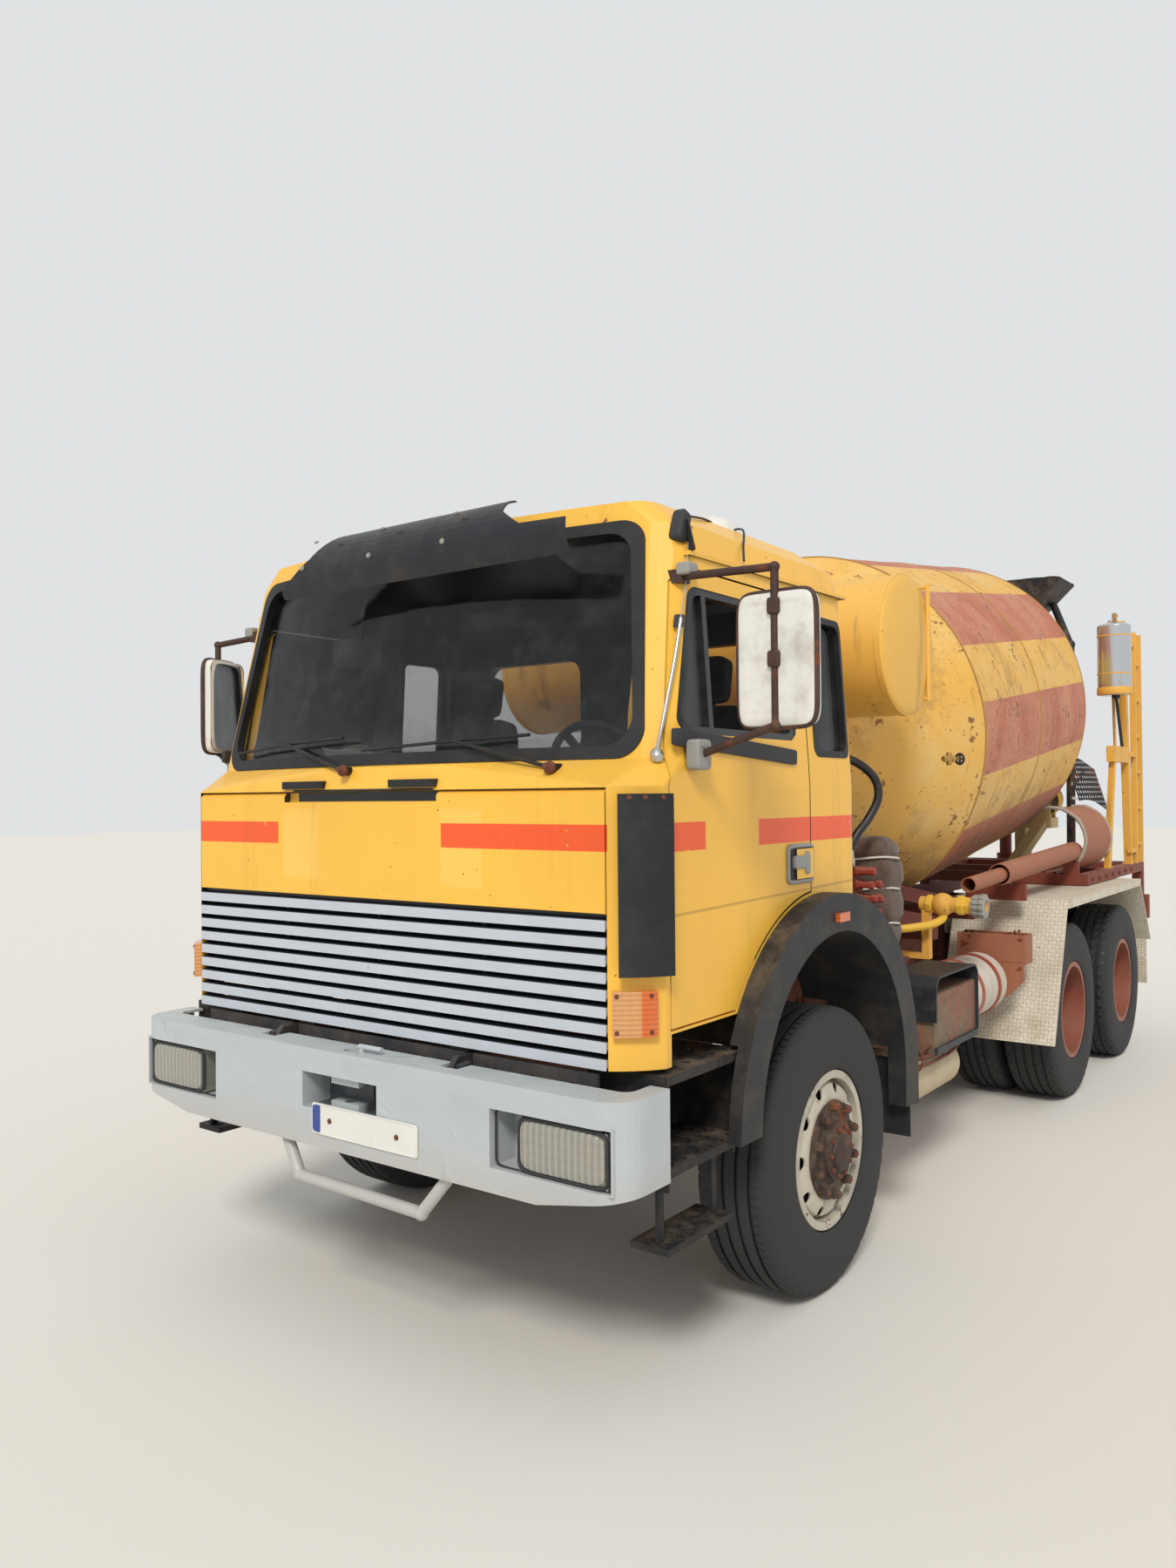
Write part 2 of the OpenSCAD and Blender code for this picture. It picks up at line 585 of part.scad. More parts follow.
// Roof visor: a bent sheet ahead of the roof, its left end torn down to a strip.
visor_c = [1065, 2765];
visor_r = 155;
visor_y = [-565, 845];
visor_tear = 520;
module sun_visor() color("#191a1c") place() {
    difference() {
        across(visor_y[0], visor_y[1]) polygon(concat(arc(visor_c[0], visor_c[1], visor_r, -33, 82, 12),
            arc(visor_c[0], visor_c[1], visor_r - 6, 82, -33, 12)));
        along(900, 1400) polygon([[visor_tear, 2960], [visor_tear + 35, 2860], [visor_tear + 130, 2800],
            [visor_y[1] + 60, 2790],
            [visor_y[1] + 60, 2960]]);
        along(900, 1400) polygon([[visor_y[0] - 9, 2700], [visor_y[0] + 170, 2822], [visor_y[0] + 265,
            2925], [visor_y[0] - 9, 2960]]);
    }
    difference() {
        for (y = [-260, 60, 380]) block([960, y, 2842], [visor_c[0] + visor_r - 28, y + 30, 2858]);
        cab_solid(-touch);
    }
}
// Dashboard with the instrument hood, column and steering wheel.
wheel_c = [700, 620, 1960];
module dashboard() color("#2a2b2d") place() {
    intersection() {
        across(-1060, 1060) polygon([[firewall_x - touch, 1500], [firewall_x - touch, 1985], [1000,
            1985], [930, 1900],
            [930, 1640], [1040, 1500]]);
        cab_solid(wall + touch);
    }
    across(400, 840) polygon([[850, 1925], [950, 1915], [1010, 1980], [1010, 2030], [900, 2030]]);
    bar([950, 620, 1830], wheel_c, 32);
    translate(wheel_c) rotate([0, -62, 0]) {
        rotate_extrude($fn = 64) translate([225, 0]) circle(r = 15, $fn = 16);
        for (a = [90, 210, 330]) rotate([0, 0, a]) translate([0, -16, -8]) cube([225, 32, 14]);
        cylinder(r = 55, h = 24, center = true);
    }
}
// Seats: cushion, back and head rest on a box, for driver and passenger.
module seats() color("#3a3e46") place() for (y = [620, -620]) {
    block([150, y - 150, cab_floor + 30 + touch], [560, y + 140, 1561]);
    across(y - 240, y + 240) polygon([[80, 1560], [600, 1560], [620, 1650], [600, 1700], [190, 1690],
        [60, 2270], [-30, 2270], [20, 1700]]);
    across(y - 130, y + 130) polygon(rounded(-50, 2270, 60, 2480, 40));
}
// Wheel arches: flare outside the door line and tunnel over the tyre, with a flap behind.
module arch_leg(r, y0, y1) {
    across(y0, y1) difference() {
        intersection() {
            union() {
                translate([arch_x, arch_z]) circle(r = r, $fn = 96);
                polygon([[arch_x - r, arch_z], [arch_x + r, arch_z], [arch_x + r, 700], [arch_x - r, 560]]);
            }
            polygon([[arch_x - r - 10, 560], [arch_x, 630], [arch_x + r + 10, 700], [arch_x + r + 10,
                1600], [arch_x - r - 10, 1600]]);
        }
        translate([arch_x, arch_z]) circle(r = arch_in, $fn = 96);
        polygon([[arch_x - arch_in, arch_z], [arch_x + arch_in, arch_z], [arch_x + arch_in, 0],
            [arch_x - arch_in, 0]]);
    }
}
module wheel_arches() color("#1d2023") place() both() {
    difference() {
        union() {
            arch_leg(arch_r, cab_half + touch, cab_half + 80);
            intersection() {
                arch_leg(arch_in + tunnel_t, tunnel_y, cab_half + 1);
                block([-700, 700, 820], [800, 1300, 1500]);
            }
        }
        block([-700, 700, 300], [760, 900, 1000]);
        block([600, 700, 300], [760, 1130, 1068]);
        block([684, 700, 300], [1300, 1187, 1068]);
        block([600, 700, 300], [900, 1300, 760]);
    }
    block([arch_x - arch_in - 74, 900, 430], [arch_x - arch_in - 66, cab_half + 70, 760]);
}
// Corner vanes and lamps beside the flap.
module corner_ring(r0, r1, a0, a1, z0, z1) {
    translate([0, 0, z0]) linear_extrude(z1 - z0)
        polygon(concat(corner_arc(r1, a0, a1), corner_arc(r0, a1, a0)));
}
// Only the left vane is left, the right one is missing.
corner_r = 358;
module corner_vanes() color("#17181a") place() {
    corner_ring(corner_r + 40, corner_r + 50, 36, 61, 1356, 1908);
    for (z = [1380, 1610, 1860]) corner_ring(corner_r + touch, corner_r + 41, 42, 46, z, z + 30);
}
module corner_lamps() color("#d8862c") place() both() {
    corner_ring(corner_r + touch, corner_r + 28, 33, 54, 1172, 1310);
    translate([30, cab_half + 80, 1436]) rotate([-90, 0, 0]) linear_extrude(18) square([90, 34], center = true);
}

// Front flap: yellow panel over a slatted grille, hung from its top edge.
flap_x = cab_front;
module front_panel() color("#e8b53a") place() difference() {
    across(-flap_half, flap_half) polygon([[flap_x - flap_t, grille_top + touch], [flap_x,
        grille_top + touch],
        [flap_x, flap_top - 12], [flap_x - 12, flap_top], [flap_x - flap_t, flap_top]]);
    // Dark grip slot at the top edge.
    block([flap_x - 28, -490, flap_top - 34], [flap_x + 1, 314, flap_top + 1]);
}
slat_pitch = (grille_top - grille_bottom) / slats;
module grille() color("#c4c8cc") place() {
    for (i = [0:slats - 1]) let(z = grille_bottom + i * slat_pitch)
        across(-flap_half, flap_half) polygon([[flap_x - 34, z + slat_pitch - 16], [flap_x - 4, z + 8],
            [flap_x + 2, z],
            [flap_x + 2, z + slat_pitch * 0.62], [flap_x - 2, z + slat_pitch * 0.62 + 4], [flap_x - 28,
                z + slat_pitch - 10]]);
    for (y = [-flap_half, -512, -6, 500, flap_half - 12])
        block([flap_x - flap_t, y, grille_bottom], [flap_x - 26, y + 12, grille_top]);
    block([flap_x - flap_t, -flap_half, grille_top - 12], [flap_x - 20, flap_half, grille_top]);
}

// Doors: a slice of the cab's skin in the door's outline, with its window cut.
module door() {
    difference() {
        intersection() {
            difference() { cab_solid(0, -5); cab_solid(wall, -10); }
            across(cab_half - 200, 1300) door_outline(0);
        }
        across(cab_half - 220, 1300) door_window(0);
    }
    // Handle and lower window trim.
    translate([210, cab_half, 1640]) block([-90, 0, -50], [50, 14, 60]);
}
module door_left() color("#e8b53a") place() door();
module door_right() color("#e8b53a") place() mirror([0, 1, 0]) door();
// Quarter light with its bar; the left main pane is wound down, the right one is up.
bar_x = 815;
module door_glass(open) {
    intersection() {
        skin(glass_in, glass_in + glass_t);
        across(cab_half - 220, 1300) difference() {
            door_window(-touch);
            if (open) polygon([[0, 2000], [bar_x - 12, 2000], [bar_x - 12, 2700], [0, 2700]]);
        }
    }
    intersection() {
        difference() { cab_solid(4, -5); cab_solid(wall - 10, -10); }
        across(cab_half - 220, 1300) difference() {
            door_window(-touch);
            intersection() {
                door_window(-24);
                union() {
                    polygon([[0, 2000], [bar_x - 14, 2000], [bar_x - 14, 2700], [0, 2700]]);
                    polygon([[bar_x + 14, 2000], [1200, 2000], [1200, 2700], [bar_x + 14, 2700]]);
                }
            }
        }
    }
}
module door_glass_left() color("#20242a") place() door_glass(true);
module door_glass_right() color("#20242a") place() mirror([0, 1, 0]) door_glass(false);
// Mirror on a bent tube frame from the door's front edge.
mirror_c = [950, cab_half + 305, 2311];
// The tube stands out to a place across the cab, and the head is folded about it.
module mirror_set(out, fold) {
    top = 2590;
    low = 2110;
    tube_x = mirror_c[0] + 30;
    c = [[925, cab_half - 55, top + 22], [tube_x, out, top], [tube_x, out, low],
        [970, cab_half + 35, low - 80]];
    for (i = [0:2]) bar(c[i], c[i + 1], 13, 16);
    for (i = [1:2]) translate(c[i]) sphere(r = 17, $fn = 24);
    difference() {
        for (q = [c[0], c[3]]) block([q[0] - 25, 1040, q[2] - 22], [q[0] + 25, q[1] + 13, q[2] + 22]);
        cab_solid(-touch);
    }
    translate([tube_x, out, mirror_c[2]]) rotate([0, 0, fold]) translate([-50, 0, 0]) rotate([0, 90,
        0]) linear_extrude(46)
        polygon(rounded(-200, -125, 200, 125, 40));
}
module mirror_left() color("#6a4030") place() mirror_set(mirror_c[1], 0);
module mirror_right() color("#6a4030") place() mirror([0, 1, 0]) mirror_set(cab_half + 145, 70);

// Knuckle: fork round the axle's end, spindle, brake back plate.
spindle_r = 50;
spindle_y = 874;
module knuckle() {
    for (z = [axle_z - boss_h / 2 - touch - 38, axle_z + boss_h / 2 + touch]) {
        translate([0, kingpin_y, z]) cylinder(r = 48, h = 38);
        block([-40, kingpin_y, z], [40, kingpin_y + 60, z + 38]);
    }
    block([-45, kingpin_y + 50, axle_z - boss_h / 2 - 38], [45, spindle_y - 10, axle_z + boss_h / 2 + 38]);
    on_axle(0, spindle_y - 12, 1) cylinder(r = 205, h = 12);
    on_axle(0, spindle_y - 1, 1) cylinder(r = spindle_r, h = 150);
}
module knuckle_left() color("#3a332f") place() knuckle();
module knuckle_right() color("#3a332f") place() mirror([0, 1, 0]) knuckle();

// Tyre section as [radius, y] round its middle.
half_w = tyre_w / 2;
module tyre(y) {
    on_axle(0, 0, 1) translate([0, 0, y]) rotate_extrude($fn = 72) polygon(concat([[bead_r + touch,
        -128], [rim_r + 2, -128], [rim_r + 8, -140], [360, -half_w], [440, -half_w],
        [505, -half_w + 8], [wheel_r - 10, -half_w + 22], [wheel_r, -half_w + 45]],
        [for (i = [0:3]) for (p = [[-6, 0], [-4, -14], [4, -14], [6, 0]]) [wheel_r + p[1],
            (i - 1.5) * 52 + p[0]]],
        [[wheel_r, half_w - 45], [wheel_r - 10, half_w - 22], [505, half_w - 8], [440, half_w], [360,
            half_w],
        [rim_r + 8, 140], [rim_r + 2, 128], [bead_r + touch, 128]]));
}
// Rim with its disc from the barrel to the mounting face at y = face.
module rim(y, foot, face) {
    on_axle(0, 0, 1) translate([0, 0, y]) difference() {
        rotate_extrude($fn = 72) {
            polygon([[268, -140], [rim_r, -140], [rim_r, -129], [bead_r, -128.5], [bead_r, 128.5],
                [rim_r, 129], [rim_r, 140], [268, 140]]);
            polygon([[110, face - 8], [180, face - 8], [269, foot - 8], [269, foot + 8], [186, face + 8],
                [110, face + 8]]);
        }
        for (i = [0:9]) rotate([0, 0, 36 * i]) translate([222, 0, -200]) cylinder(r = 24, h = 400,
            $fn = 20);
    }
}
module nuts(y, r) { on_axle(0, y, 1) for (i = [0:9]) rotate([0, 0, 36 * i + 18]) translate([r, 0,
    0]) cylinder(r = 17, h = 28, $fn = 6); }
module wheel_front() {
    tyre(front_track);
    rim(front_track, 20, 70);
    on_axle(0, front_track + 40, 1) cylinder(r = 150, h = 22);
    nuts(front_track + 78, 152);
    on_axle(0, front_track + 99, 1) cylinder(r = 72, h = 45);
    on_axle(0, 0, 1) difference() {
        union() {
            translate([0, 0, spindle_y + 6]) cylinder(r = 205, h = 160);
            cylinder(r = 111, h = front_track + 100);
        }
        translate([0, 0, -1]) cylinder(r = 300, h = spindle_y + 7);
        cylinder(r = spindle_r + touch, h = spindle_y + 152);
    }
}
module wheels_rear() {
    tyre(outer_track);
    tyre(outer_track - twin_pitch);
    rim(outer_track, -100, -twin_pitch / 2 + 8);
    rim(outer_track - twin_pitch, 100, twin_pitch / 2 - 8);
    nuts(outer_track - twin_pitch / 2 + 15, 145);
    on_axle(0, 0, 1) difference() {
        union() {
            translate([0, 0, tube_y + 7]) cylinder(r = 205, h = 150);
            cylinder(r = 112, h = outer_track - 35);
        }
        translate([0, 0, -1]) cylinder(r = 300, h = tube_y + 8);
        cylinder(r = stub_r + touch, h = tube_y + 152);
    }
}
module wheel_front_left() color("#2b2b2b") place() wheel_front();
module wheel_front_right() color("#2b2b2b") place() mirror([0, 1, 0]) wheel_front();
module wheels_rear_1_left() color("#2b2b2b") place() translate([rear_1, 0, 0]) wheels_rear();
module wheels_rear_1_right() color("#2b2b2b") place() translate([rear_1, 0, 0]) mirror([0, 1, 0]) wheels_rear();
module wheels_rear_2_left() color("#2b2b2b") place() translate([rear_2, 0, 0]) wheels_rear();
module wheels_rear_2_right() color("#2b2b2b") place() translate([rear_2, 0, 0]) mirror([0, 1, 0]) wheels_rear();

// Drum: turned shell in its own frame, z along the axis from the front seam to the mouth.
boss_l = 60;
drum_end = drum_mid_l + drum_rear_l;
ring_r = drum_r - (ring_s - drum_mid_l) / drum_rear_l * (drum_r - drum_mouth_r) + 70;
module on_drum() { translate([-drum_x, 0, drum_z]) rotate([0, -90 + drum_tilt, 0]) children(); }
module drum() color("#e0b54a") place() on_drum() {
    rotate_extrude($fn = 96) polygon([[0, -drum_front_l - boss_l], [150, -drum_front_l - boss_l], [150,
        -drum_front_l - 40], [drum_head_r - 60, -drum_front_l - 20],
        [drum_head_r, -drum_front_l], [drum_r, 0], [drum_r, drum_mid_l],
        [ring_r - 70 + ring_w * 0.18, ring_s - ring_w / 2], [ring_r, ring_s - ring_w / 2], [ring_r,
            ring_s + ring_w / 2],
        [ring_r - 70 - ring_w * 0.18, ring_s + ring_w / 2],
        [drum_mouth_r, drum_end], [drum_mouth_r - 12, drum_end],
        [drum_r - 12, drum_mid_l], [drum_r - 12, 10], [drum_head_r - 20, -drum_front_l + 12], [0,
            -drum_front_l + 12]]);
}
// Support rollers under the running ring.
roller_a = 35;
roller_w = 80;
roller_gap = 1;
roller_d = ring_r + roller_r + roller_gap;
roller_pin_r = 35;
// Point under the drum's axis at station s, [x, z].
function under_drum(s, down) = [-drum_x - s * cos(drum_tilt) - down * sin(drum_tilt),
    drum_z + s * sin(drum_tilt) - down * cos(drum_tilt)];
ped = under_drum(ring_s, roller_d * cos(roller_a));
module roller(s) {
    on_drum() translate([-roller_d * cos(roller_a), s * roller_d * sin(roller_a), ring_s - roller_w / 2]) {
        cylinder(r = roller_r, h = roller_w);
        translate([0, 0, -35]) cylinder(r = roller_pin_r, h = roller_w + 70);
    }
}
module roller_left() color("#777777") place() roller(1);
module roller_right() color("#777777") place() roller(-1);

// Subframe with the front tower, its rearward struts and the rear pedestal.
tower_x = -1240;
tower_z = 1940;
module drum_frame() color("#8a3f30") place() {
    both() {
        block([-frame_rear, frame_half - flange_w, frame_top], [-1050, frame_half, subframe_top]);
        block([tower_x - 55, 300, subframe_top - 1], [tower_x + 55, 390, tower_z]);
        beam([tower_x, 370, 1380], [-2350, 700, subframe_top + 10], 80, 80);
        beam([tower_x, 370, 1530], [-2800, 790, 1205], 80, 80);
        block([-2840, frame_half - 60, subframe_top - 1], [-2740, 830, subframe_top + 70]);
        block([-2400, frame_half - 60, frame_top + 5], [-2300, 740, subframe_top + 10]);
        // Outrigger behind the cab.
        block([-1420, frame_half - 60, frame_top], [-1240, 940, frame_top + 35]);
    }
    block([tower_x - 80, -340, tower_z - 90], [tower_x + 60, 340, tower_z]);
    for (x = [-1900, -3400, -4300]) block([x, -frame_half + 1, frame_top], [x + 60, frame_half - 1,
        subframe_top - 20]);
    // Rear pedestal: legs, a saddle and the roller cheeks.
    both() {
        on_drum() translate([-roller_d * cos(roller_a), roller_d * sin(roller_a), ring_s])
            for (q = [-82, 52]) difference() {
                translate([-190, -60, q]) cube([230, 120, 30]);
                translate([0, 0, q - 1]) cylinder(r = roller_pin_r + touch, h = 32);
            }
        block([ped[0] - 90, frame_half - flange_w, subframe_top - 1], [ped[0] + 90, frame_half,
            ped[1] - 140]);
        beam([-4500, 400, subframe_top - 1], [ped[0] + 60, 560, ped[1] - 170], 90, 60);
    }
    block([ped[0] - 110, -630, ped[1] - 220], [ped[0] + 110, 630, ped[1] - 140]);
}
module drum_gearbox() color("#6b4a3a") place() {
    on_drum() translate([0, 0, -drum_front_l - boss_l - touch]) {
        translate([0, 0, -330]) cylinder(r = 138, h = 330);
        translate([0, 0, -400]) cylinder(r = 90, h = 72);
    }
    block([tower_x - 70, -150, tower_z], [tower_x + 50, 150, tower_z + 50]);
}

// Water tank: barrel with dished ends, saddles, sight tube and its cock.
leg_y = [460, 540];
module water_tank() color("#e2b240") place() {
    translate([-tank_x, -tank_half, tank_z]) rotate([-90, 0, 0]) cylinder(r = tank_r, h = 2 * tank_half,
        $fn = 72);
    both() {
        translate([-tank_x, tank_half, tank_z]) rotate([-90, 0, 0]) cylinder(r = tank_r + 4, h = 25,
            $fn = 72);
        translate([-tank_x, tank_half + 24, tank_z]) scale([1, 0.12, 1]) sphere(r = tank_r - 2, $fn = 72);
        block([-tank_x - 40, leg_y[0], tower_z - 240], [-tank_x + 40, leg_y[1], tank_z - tank_r + 30]);
        block([tower_x + 55, 300, tower_z - 240], [-tank_x + 40, leg_y[1], tower_z - 160]);
    }
    bar([-tank_x - 180, tank_half + 60, tank_z - 250], [-tank_x - 180, tank_half + 60, tank_z + 300], 11,
        16);
    for (z = [-240, 290]) bar([-tank_x - 180, tank_half + 10, tank_z + z], [-tank_x - 180,
        tank_half + 62, tank_z + z], 9, 16);
}

// Rear mudguards: slanted front panel, flat top and sloping tail, on stays from the frame.
guard_z = 1240;
guard_y = [575, 1260];
module mudguards() color("#cfc6ad") place() both() {
    across(guard_y[0], guard_y[1]) polygon([[-2850, 430], [-2838, 430], [-3178, guard_z + 10], [-5250,
        guard_z + 10],
        [-5620, 760], [-5608, 760], [-5246, guard_z - 2], [-3188, guard_z - 2]]);
    across(guard_y[1], guard_y[1] + 6) polygon([[-3178, guard_z + 10], [-5250, guard_z + 10], [-5250,
        guard_z - 40], [-3160, guard_z - 40]]);
    for (x = [-3420, -4190, -5050]) bar([x, frame_half + 1, 1200], [x, guard_y[1] - 20, 1218], 22);
    for (x = [-3420, -4190, -5050]) block([x - 30, frame_half, 980], [x + 30, frame_half + 20, 1225]);
    block([-5616, 620, 420], [-5608, 1230, 765]);
}

// Charging hopper over the mouth, with its legs and the discharge funnel below.
leg_foot = [-5880, 620];
module hopper_bowl(t) {
    hull() {
        translate([-6130, 0, 3690 + t / 10]) linear_extrude(1) polygon(rounded(-330 + t, -560 + t,
            330 - t, 560 - t, 120 - t));
        translate([-5990, 0, 3240 - t / 10]) linear_extrude(1) polygon(rounded(-170 + t, -210 + t,
            170 - t, 210 - t, 80 - t));
    }
}
module hopper() color("#202124") place() {
    difference() {
        union() {
            hopper_bowl(0);
            both() bar([-5935, leg_foot[1], 3130], [-6130, 440, 3510], 30);
        }
        hopper_bowl(10);
    }
    both() {
        bar([leg_foot[0], leg_foot[1], deck_z[1] + 6], [-5935, leg_foot[1], 3130], 34);
        translate([-5935, leg_foot[1], 3130]) sphere(r = 40);
        block([leg_foot[0] - 45, leg_foot[1] - 45, deck_z[1]], [leg_foot[0] + 45, leg_foot[1] + 45,
            deck_z[1] + 12]);
        bar([-6110, 375, 2440], [-5912, leg_foot[1], 2440], 18);
    }
    // Discharge funnel behind the mouth with an apron under its lip, round over the chute's post.
    difference() {
        funnel(0);
        translate([0, 0, 1]) funnel(8);
        translate([post_x, 0, funnel_z[0] - 1]) cylinder(r = outlet_r - 8, h = 20);
        block([post_x + 60, -198, 2072], [post_x + 300, 198, 2600]);
    }
    across(-200, 200) polygon([[-5905, 2115], [-5905, 2123], [-6062, 2074], [-6062, 2066]]);
}
funnel_z = [2030, 2500];
outlet_r = 130;
module funnel(t) {
    hull() {
        translate([post_x, 0, funnel_z[1]]) linear_extrude(1) polygon(rounded(-200 + t, -420 + t,
            200 - t, 420 - t, 60));
        translate([post_x, 0, funnel_z[0]]) cylinder(r = outlet_r - t, h = 1, $fn = 32);
    }
}

// Red platform over the rear wheels, with the tail bar and the chute's post socket.
deck_z = [1255, 1330];
deck_x = [-6120, -4310];
deck_half = 1110;
post_x = -6180;
post_r = 50;
module rear_platform() color("#8e3d2c") place() {
    both() {
        block([deck_x[0], deck_half - 80, deck_z[0]], [deck_x[1], deck_half, deck_z[1]]);
        block([deck_x[0], frame_half - 30, subframe_top], [deck_x[0] + 90, frame_half + 30, deck_z[1]]);
        block([deck_x[1] - 90, frame_half - 30, subframe_top], [deck_x[1], frame_half + 30, deck_z[1]]);
        block([-6190, 600, 870], [-6130, 1150, 1060]);
        block([-6130, frame_half, 900], [-5990, 620, 960]);
        block([-6190, deck_half - 80, 1060], [-6130, deck_half, deck_z[1]]);
    }
    for (x = [deck_x[0], leg_foot[0] - 45, -5150, deck_x[1] - 90]) block([x, -deck_half, deck_z[0]],
        [x + 90, deck_half, deck_z[1]]);
    for (y = [-300, 220]) block([deck_x[0], y, deck_z[1] - 40], [-5300, y + 80, deck_z[1]]);
    block([-6240, -600, 820], [-6190, 600, 940]);
    // Socket that the chute's post turns in.
    difference() {
        translate([post_x, 0, 1230]) cylinder(r = 75, h = 110);
        translate([post_x, 0, 1229]) cylinder(r = post_r + touch, h = 120);
    }
    block([post_x + 53, -60, 1240], [deck_x[0] + 10, 60, 1329]);
    // Cradles for the stowed pipes.
    block([-4344, 950, deck_z[1]], [-4312, 1050, 1423]);
    block([-3040, 700, 1250], [-3000, 1060, 1350]);
}
// Posts, hand rail, beam and ladder on the left rear corner.
module ladder() color("#c8952e") place() {
    post = [[-5760, 1080, deck_z[1] + 6], [-5600, 1080, 3240]];
    beam(post[0], post[1], 55, 55);
    block([-5800, 1045, deck_z[1]], [-5720, 1110, deck_z[1] + 12]);
    for (x = [-5900, -6098]) block([x - 22, 1080, deck_z[1]], [x + 22, 1124, 3180]);
    for (z = [1480:290:3180]) bar([-5878, 1102, z], [-6122, 1102, z], 13, 16);
    for (z = [1420, 2180, 3060]) block([-5880, 1085, z], [-5700, 1119, z + 34]);
    block([-5700, 1052, 2130], [-5180, 1108, 2250]);
    beam([-5250, 1080, 2140], [-5140, 1060, deck_z[1] + 8], 40, 40);
    block([-5170, 1040, deck_z[1]], [-5110, 1090, deck_z[1] + 14]);
    for (z = [2700, 2800, 3160, 3220]) bar([-5640, 1080, z], [-5480, 1080, z], 12, 16);
}
module canister() color("#a9adb0") place() {
    translate([-5360, 1080, 2700]) cylinder(r = 120, h = 470);
    translate([-5360, 1080, 3170]) scale([1, 1, 0.25]) sphere(r = 118);
    translate([-5360, 1080, 3195]) cylinder(r = 14, h = 70);
    translate([-5360, 1080, 2640]) cylinder(r = 100, h = 60);
}
// Stowed pipes and the half-round extension chute.
module stowed_pipes() color("#b5604a") place() {
    difference() { bar([-2700, 1000, 1425], [-4380, 1000, 1490], 64, 32); bar([-2690, 1000, 1425],
        [-4390, 1000, 1490], 58, 32); }
    difference() { bar([-2150, 1000, 1400], [-4000, 1000, 1474], 42, 32); bar([-2140, 1000, 1400],
        [-4100, 1000, 1478], 37, 32); }
    translate([-5100, 860, deck_z[1] + 235 + touch]) rotate([0, 90, 0]) rotate([0, 0,
        -10]) linear_extrude(750) difference() {
        circle(r = 235, $fn = 64);
        circle(r = 225, $fn = 64);
        translate([-300, -600]) square([600, 600]);
    }
}

// Hydraulic hoses behind the cab: two loops from the valve block to the gearbox's motor.
hose_r = 20;
hose_routes = [[[-970, 830, 1562], [-970, 830, 1620], [-1000, 850, 1700], [-1070, 890, 1790], [-1110,
    920, 1890],
        [-1090, 900, 1990], [-1010, 810, 2070], [-930, 620, 2100], [-920, 400, 2100], [-960, 220, 2092],
            [-1030, 110.3, 2092]],
    [[-970, 750, 1562], [-970, 750, 1620], [-985, 760, 1700], [-1030, 780, 1790], [-1050, 790, 1880],
        [-1020, 750, 1960], [-940, 640, 2020], [-890, 470, 2040], [-900, 260, 2050], [-960, 150, 2060],
            [-1030, 110.3, 2050]]];
// Smooth curve through a route's points, n steps to a stretch.
function curve(p, n) = let(k = len(p) - 1) concat([for (i = [0:k - 1]) let(a = p[max(i - 1, 0)],
    b = p[i], c = p[i + 1], d = p[min(i + 2, k)])
    for (j = [0:n - 1]) let(t = j / n) 0.5 * (2 * b + (c - a) * t + (2 * a - 5 * b + 4 * c - d) * t * t + (3 * b - a - 3 * c + d) * t * t * t)], [p[k]]);
module hose(route, r, sides_n) {
    p = curve(route, 3);
    k = len(p) - 1;
    rings = [for (i = [0:k]) let(d = p[min(i + 1, k)] - p[max(i - 1, 0)], t = d / norm(d),
        u0 = cross([0.35, 0.25, 0.9], t), u = u0 / norm(u0), v = cross(t, u))
        for (j = [0:sides_n - 1]) p[i] + r * (cos(360 * j / sides_n) * u + sin(360 * j / sides_n) * v)];
    polyhedron(rings, concat([[for (j = [0:sides_n - 1]) j]],
        [[for (j = [0:sides_n - 1]) k * sides_n + sides_n - 1 - j]],
        [for (i = [0:k - 1]) for (j = [0:sides_n - 1]) [i * sides_n + j, (i + 1) * sides_n + j,
            (i + 1) * sides_n + (j + 1) % sides_n, i * sides_n + (j + 1) % sides_n]]));
}
module hydraulic_hoses() color("#15171a") place() for (r = hose_routes) hose(r, hose_r, 8);
module cloth_bundle() color("#5a4538") place() {
    translate([-1330, 800, frame_top + 35 + touch + 300]) scale([0.8, 0.75, 1.6]) sphere(r = 187, $fn = 32);
}
module valve_block() color("#8c2f26") place() {
    block([-1010, 620, 1330], [-930, 880, 1560]);
    block([-1000, frame_half, 1290], [-940, 880, 1330]);
    block([-1000, frame_half, 960], [-940, frame_half + 60, 1290]);
}
// Water valve with its hose coupling on the left.
valve_x = -2030;
valve_z = 1300;
valve_bore = 26;
module water_valve() color("#d0a63a") place() {
    difference() {
        union() {
            translate([valve_x, 780, valve_z]) rotate([-90, 0, 0]) cylinder(r = 40, h = 280);
            translate([valve_x, 1060, valve_z]) rotate([-90, 0, 0]) cylinder(r = 52, h = 70);
            translate([valve_x, 900, valve_z]) sphere(r = 62);
            block([valve_x - 25, 790, 1000], [valve_x + 25, 830, valve_z]);
            block([valve_x - 25, frame_half, 1000], [valve_x + 25, 830, 1030]);
        }
        translate([valve_x, 1000, valve_z]) rotate([-90, 0, 0]) cylinder(r = valve_bore, h = 200);
    }
}

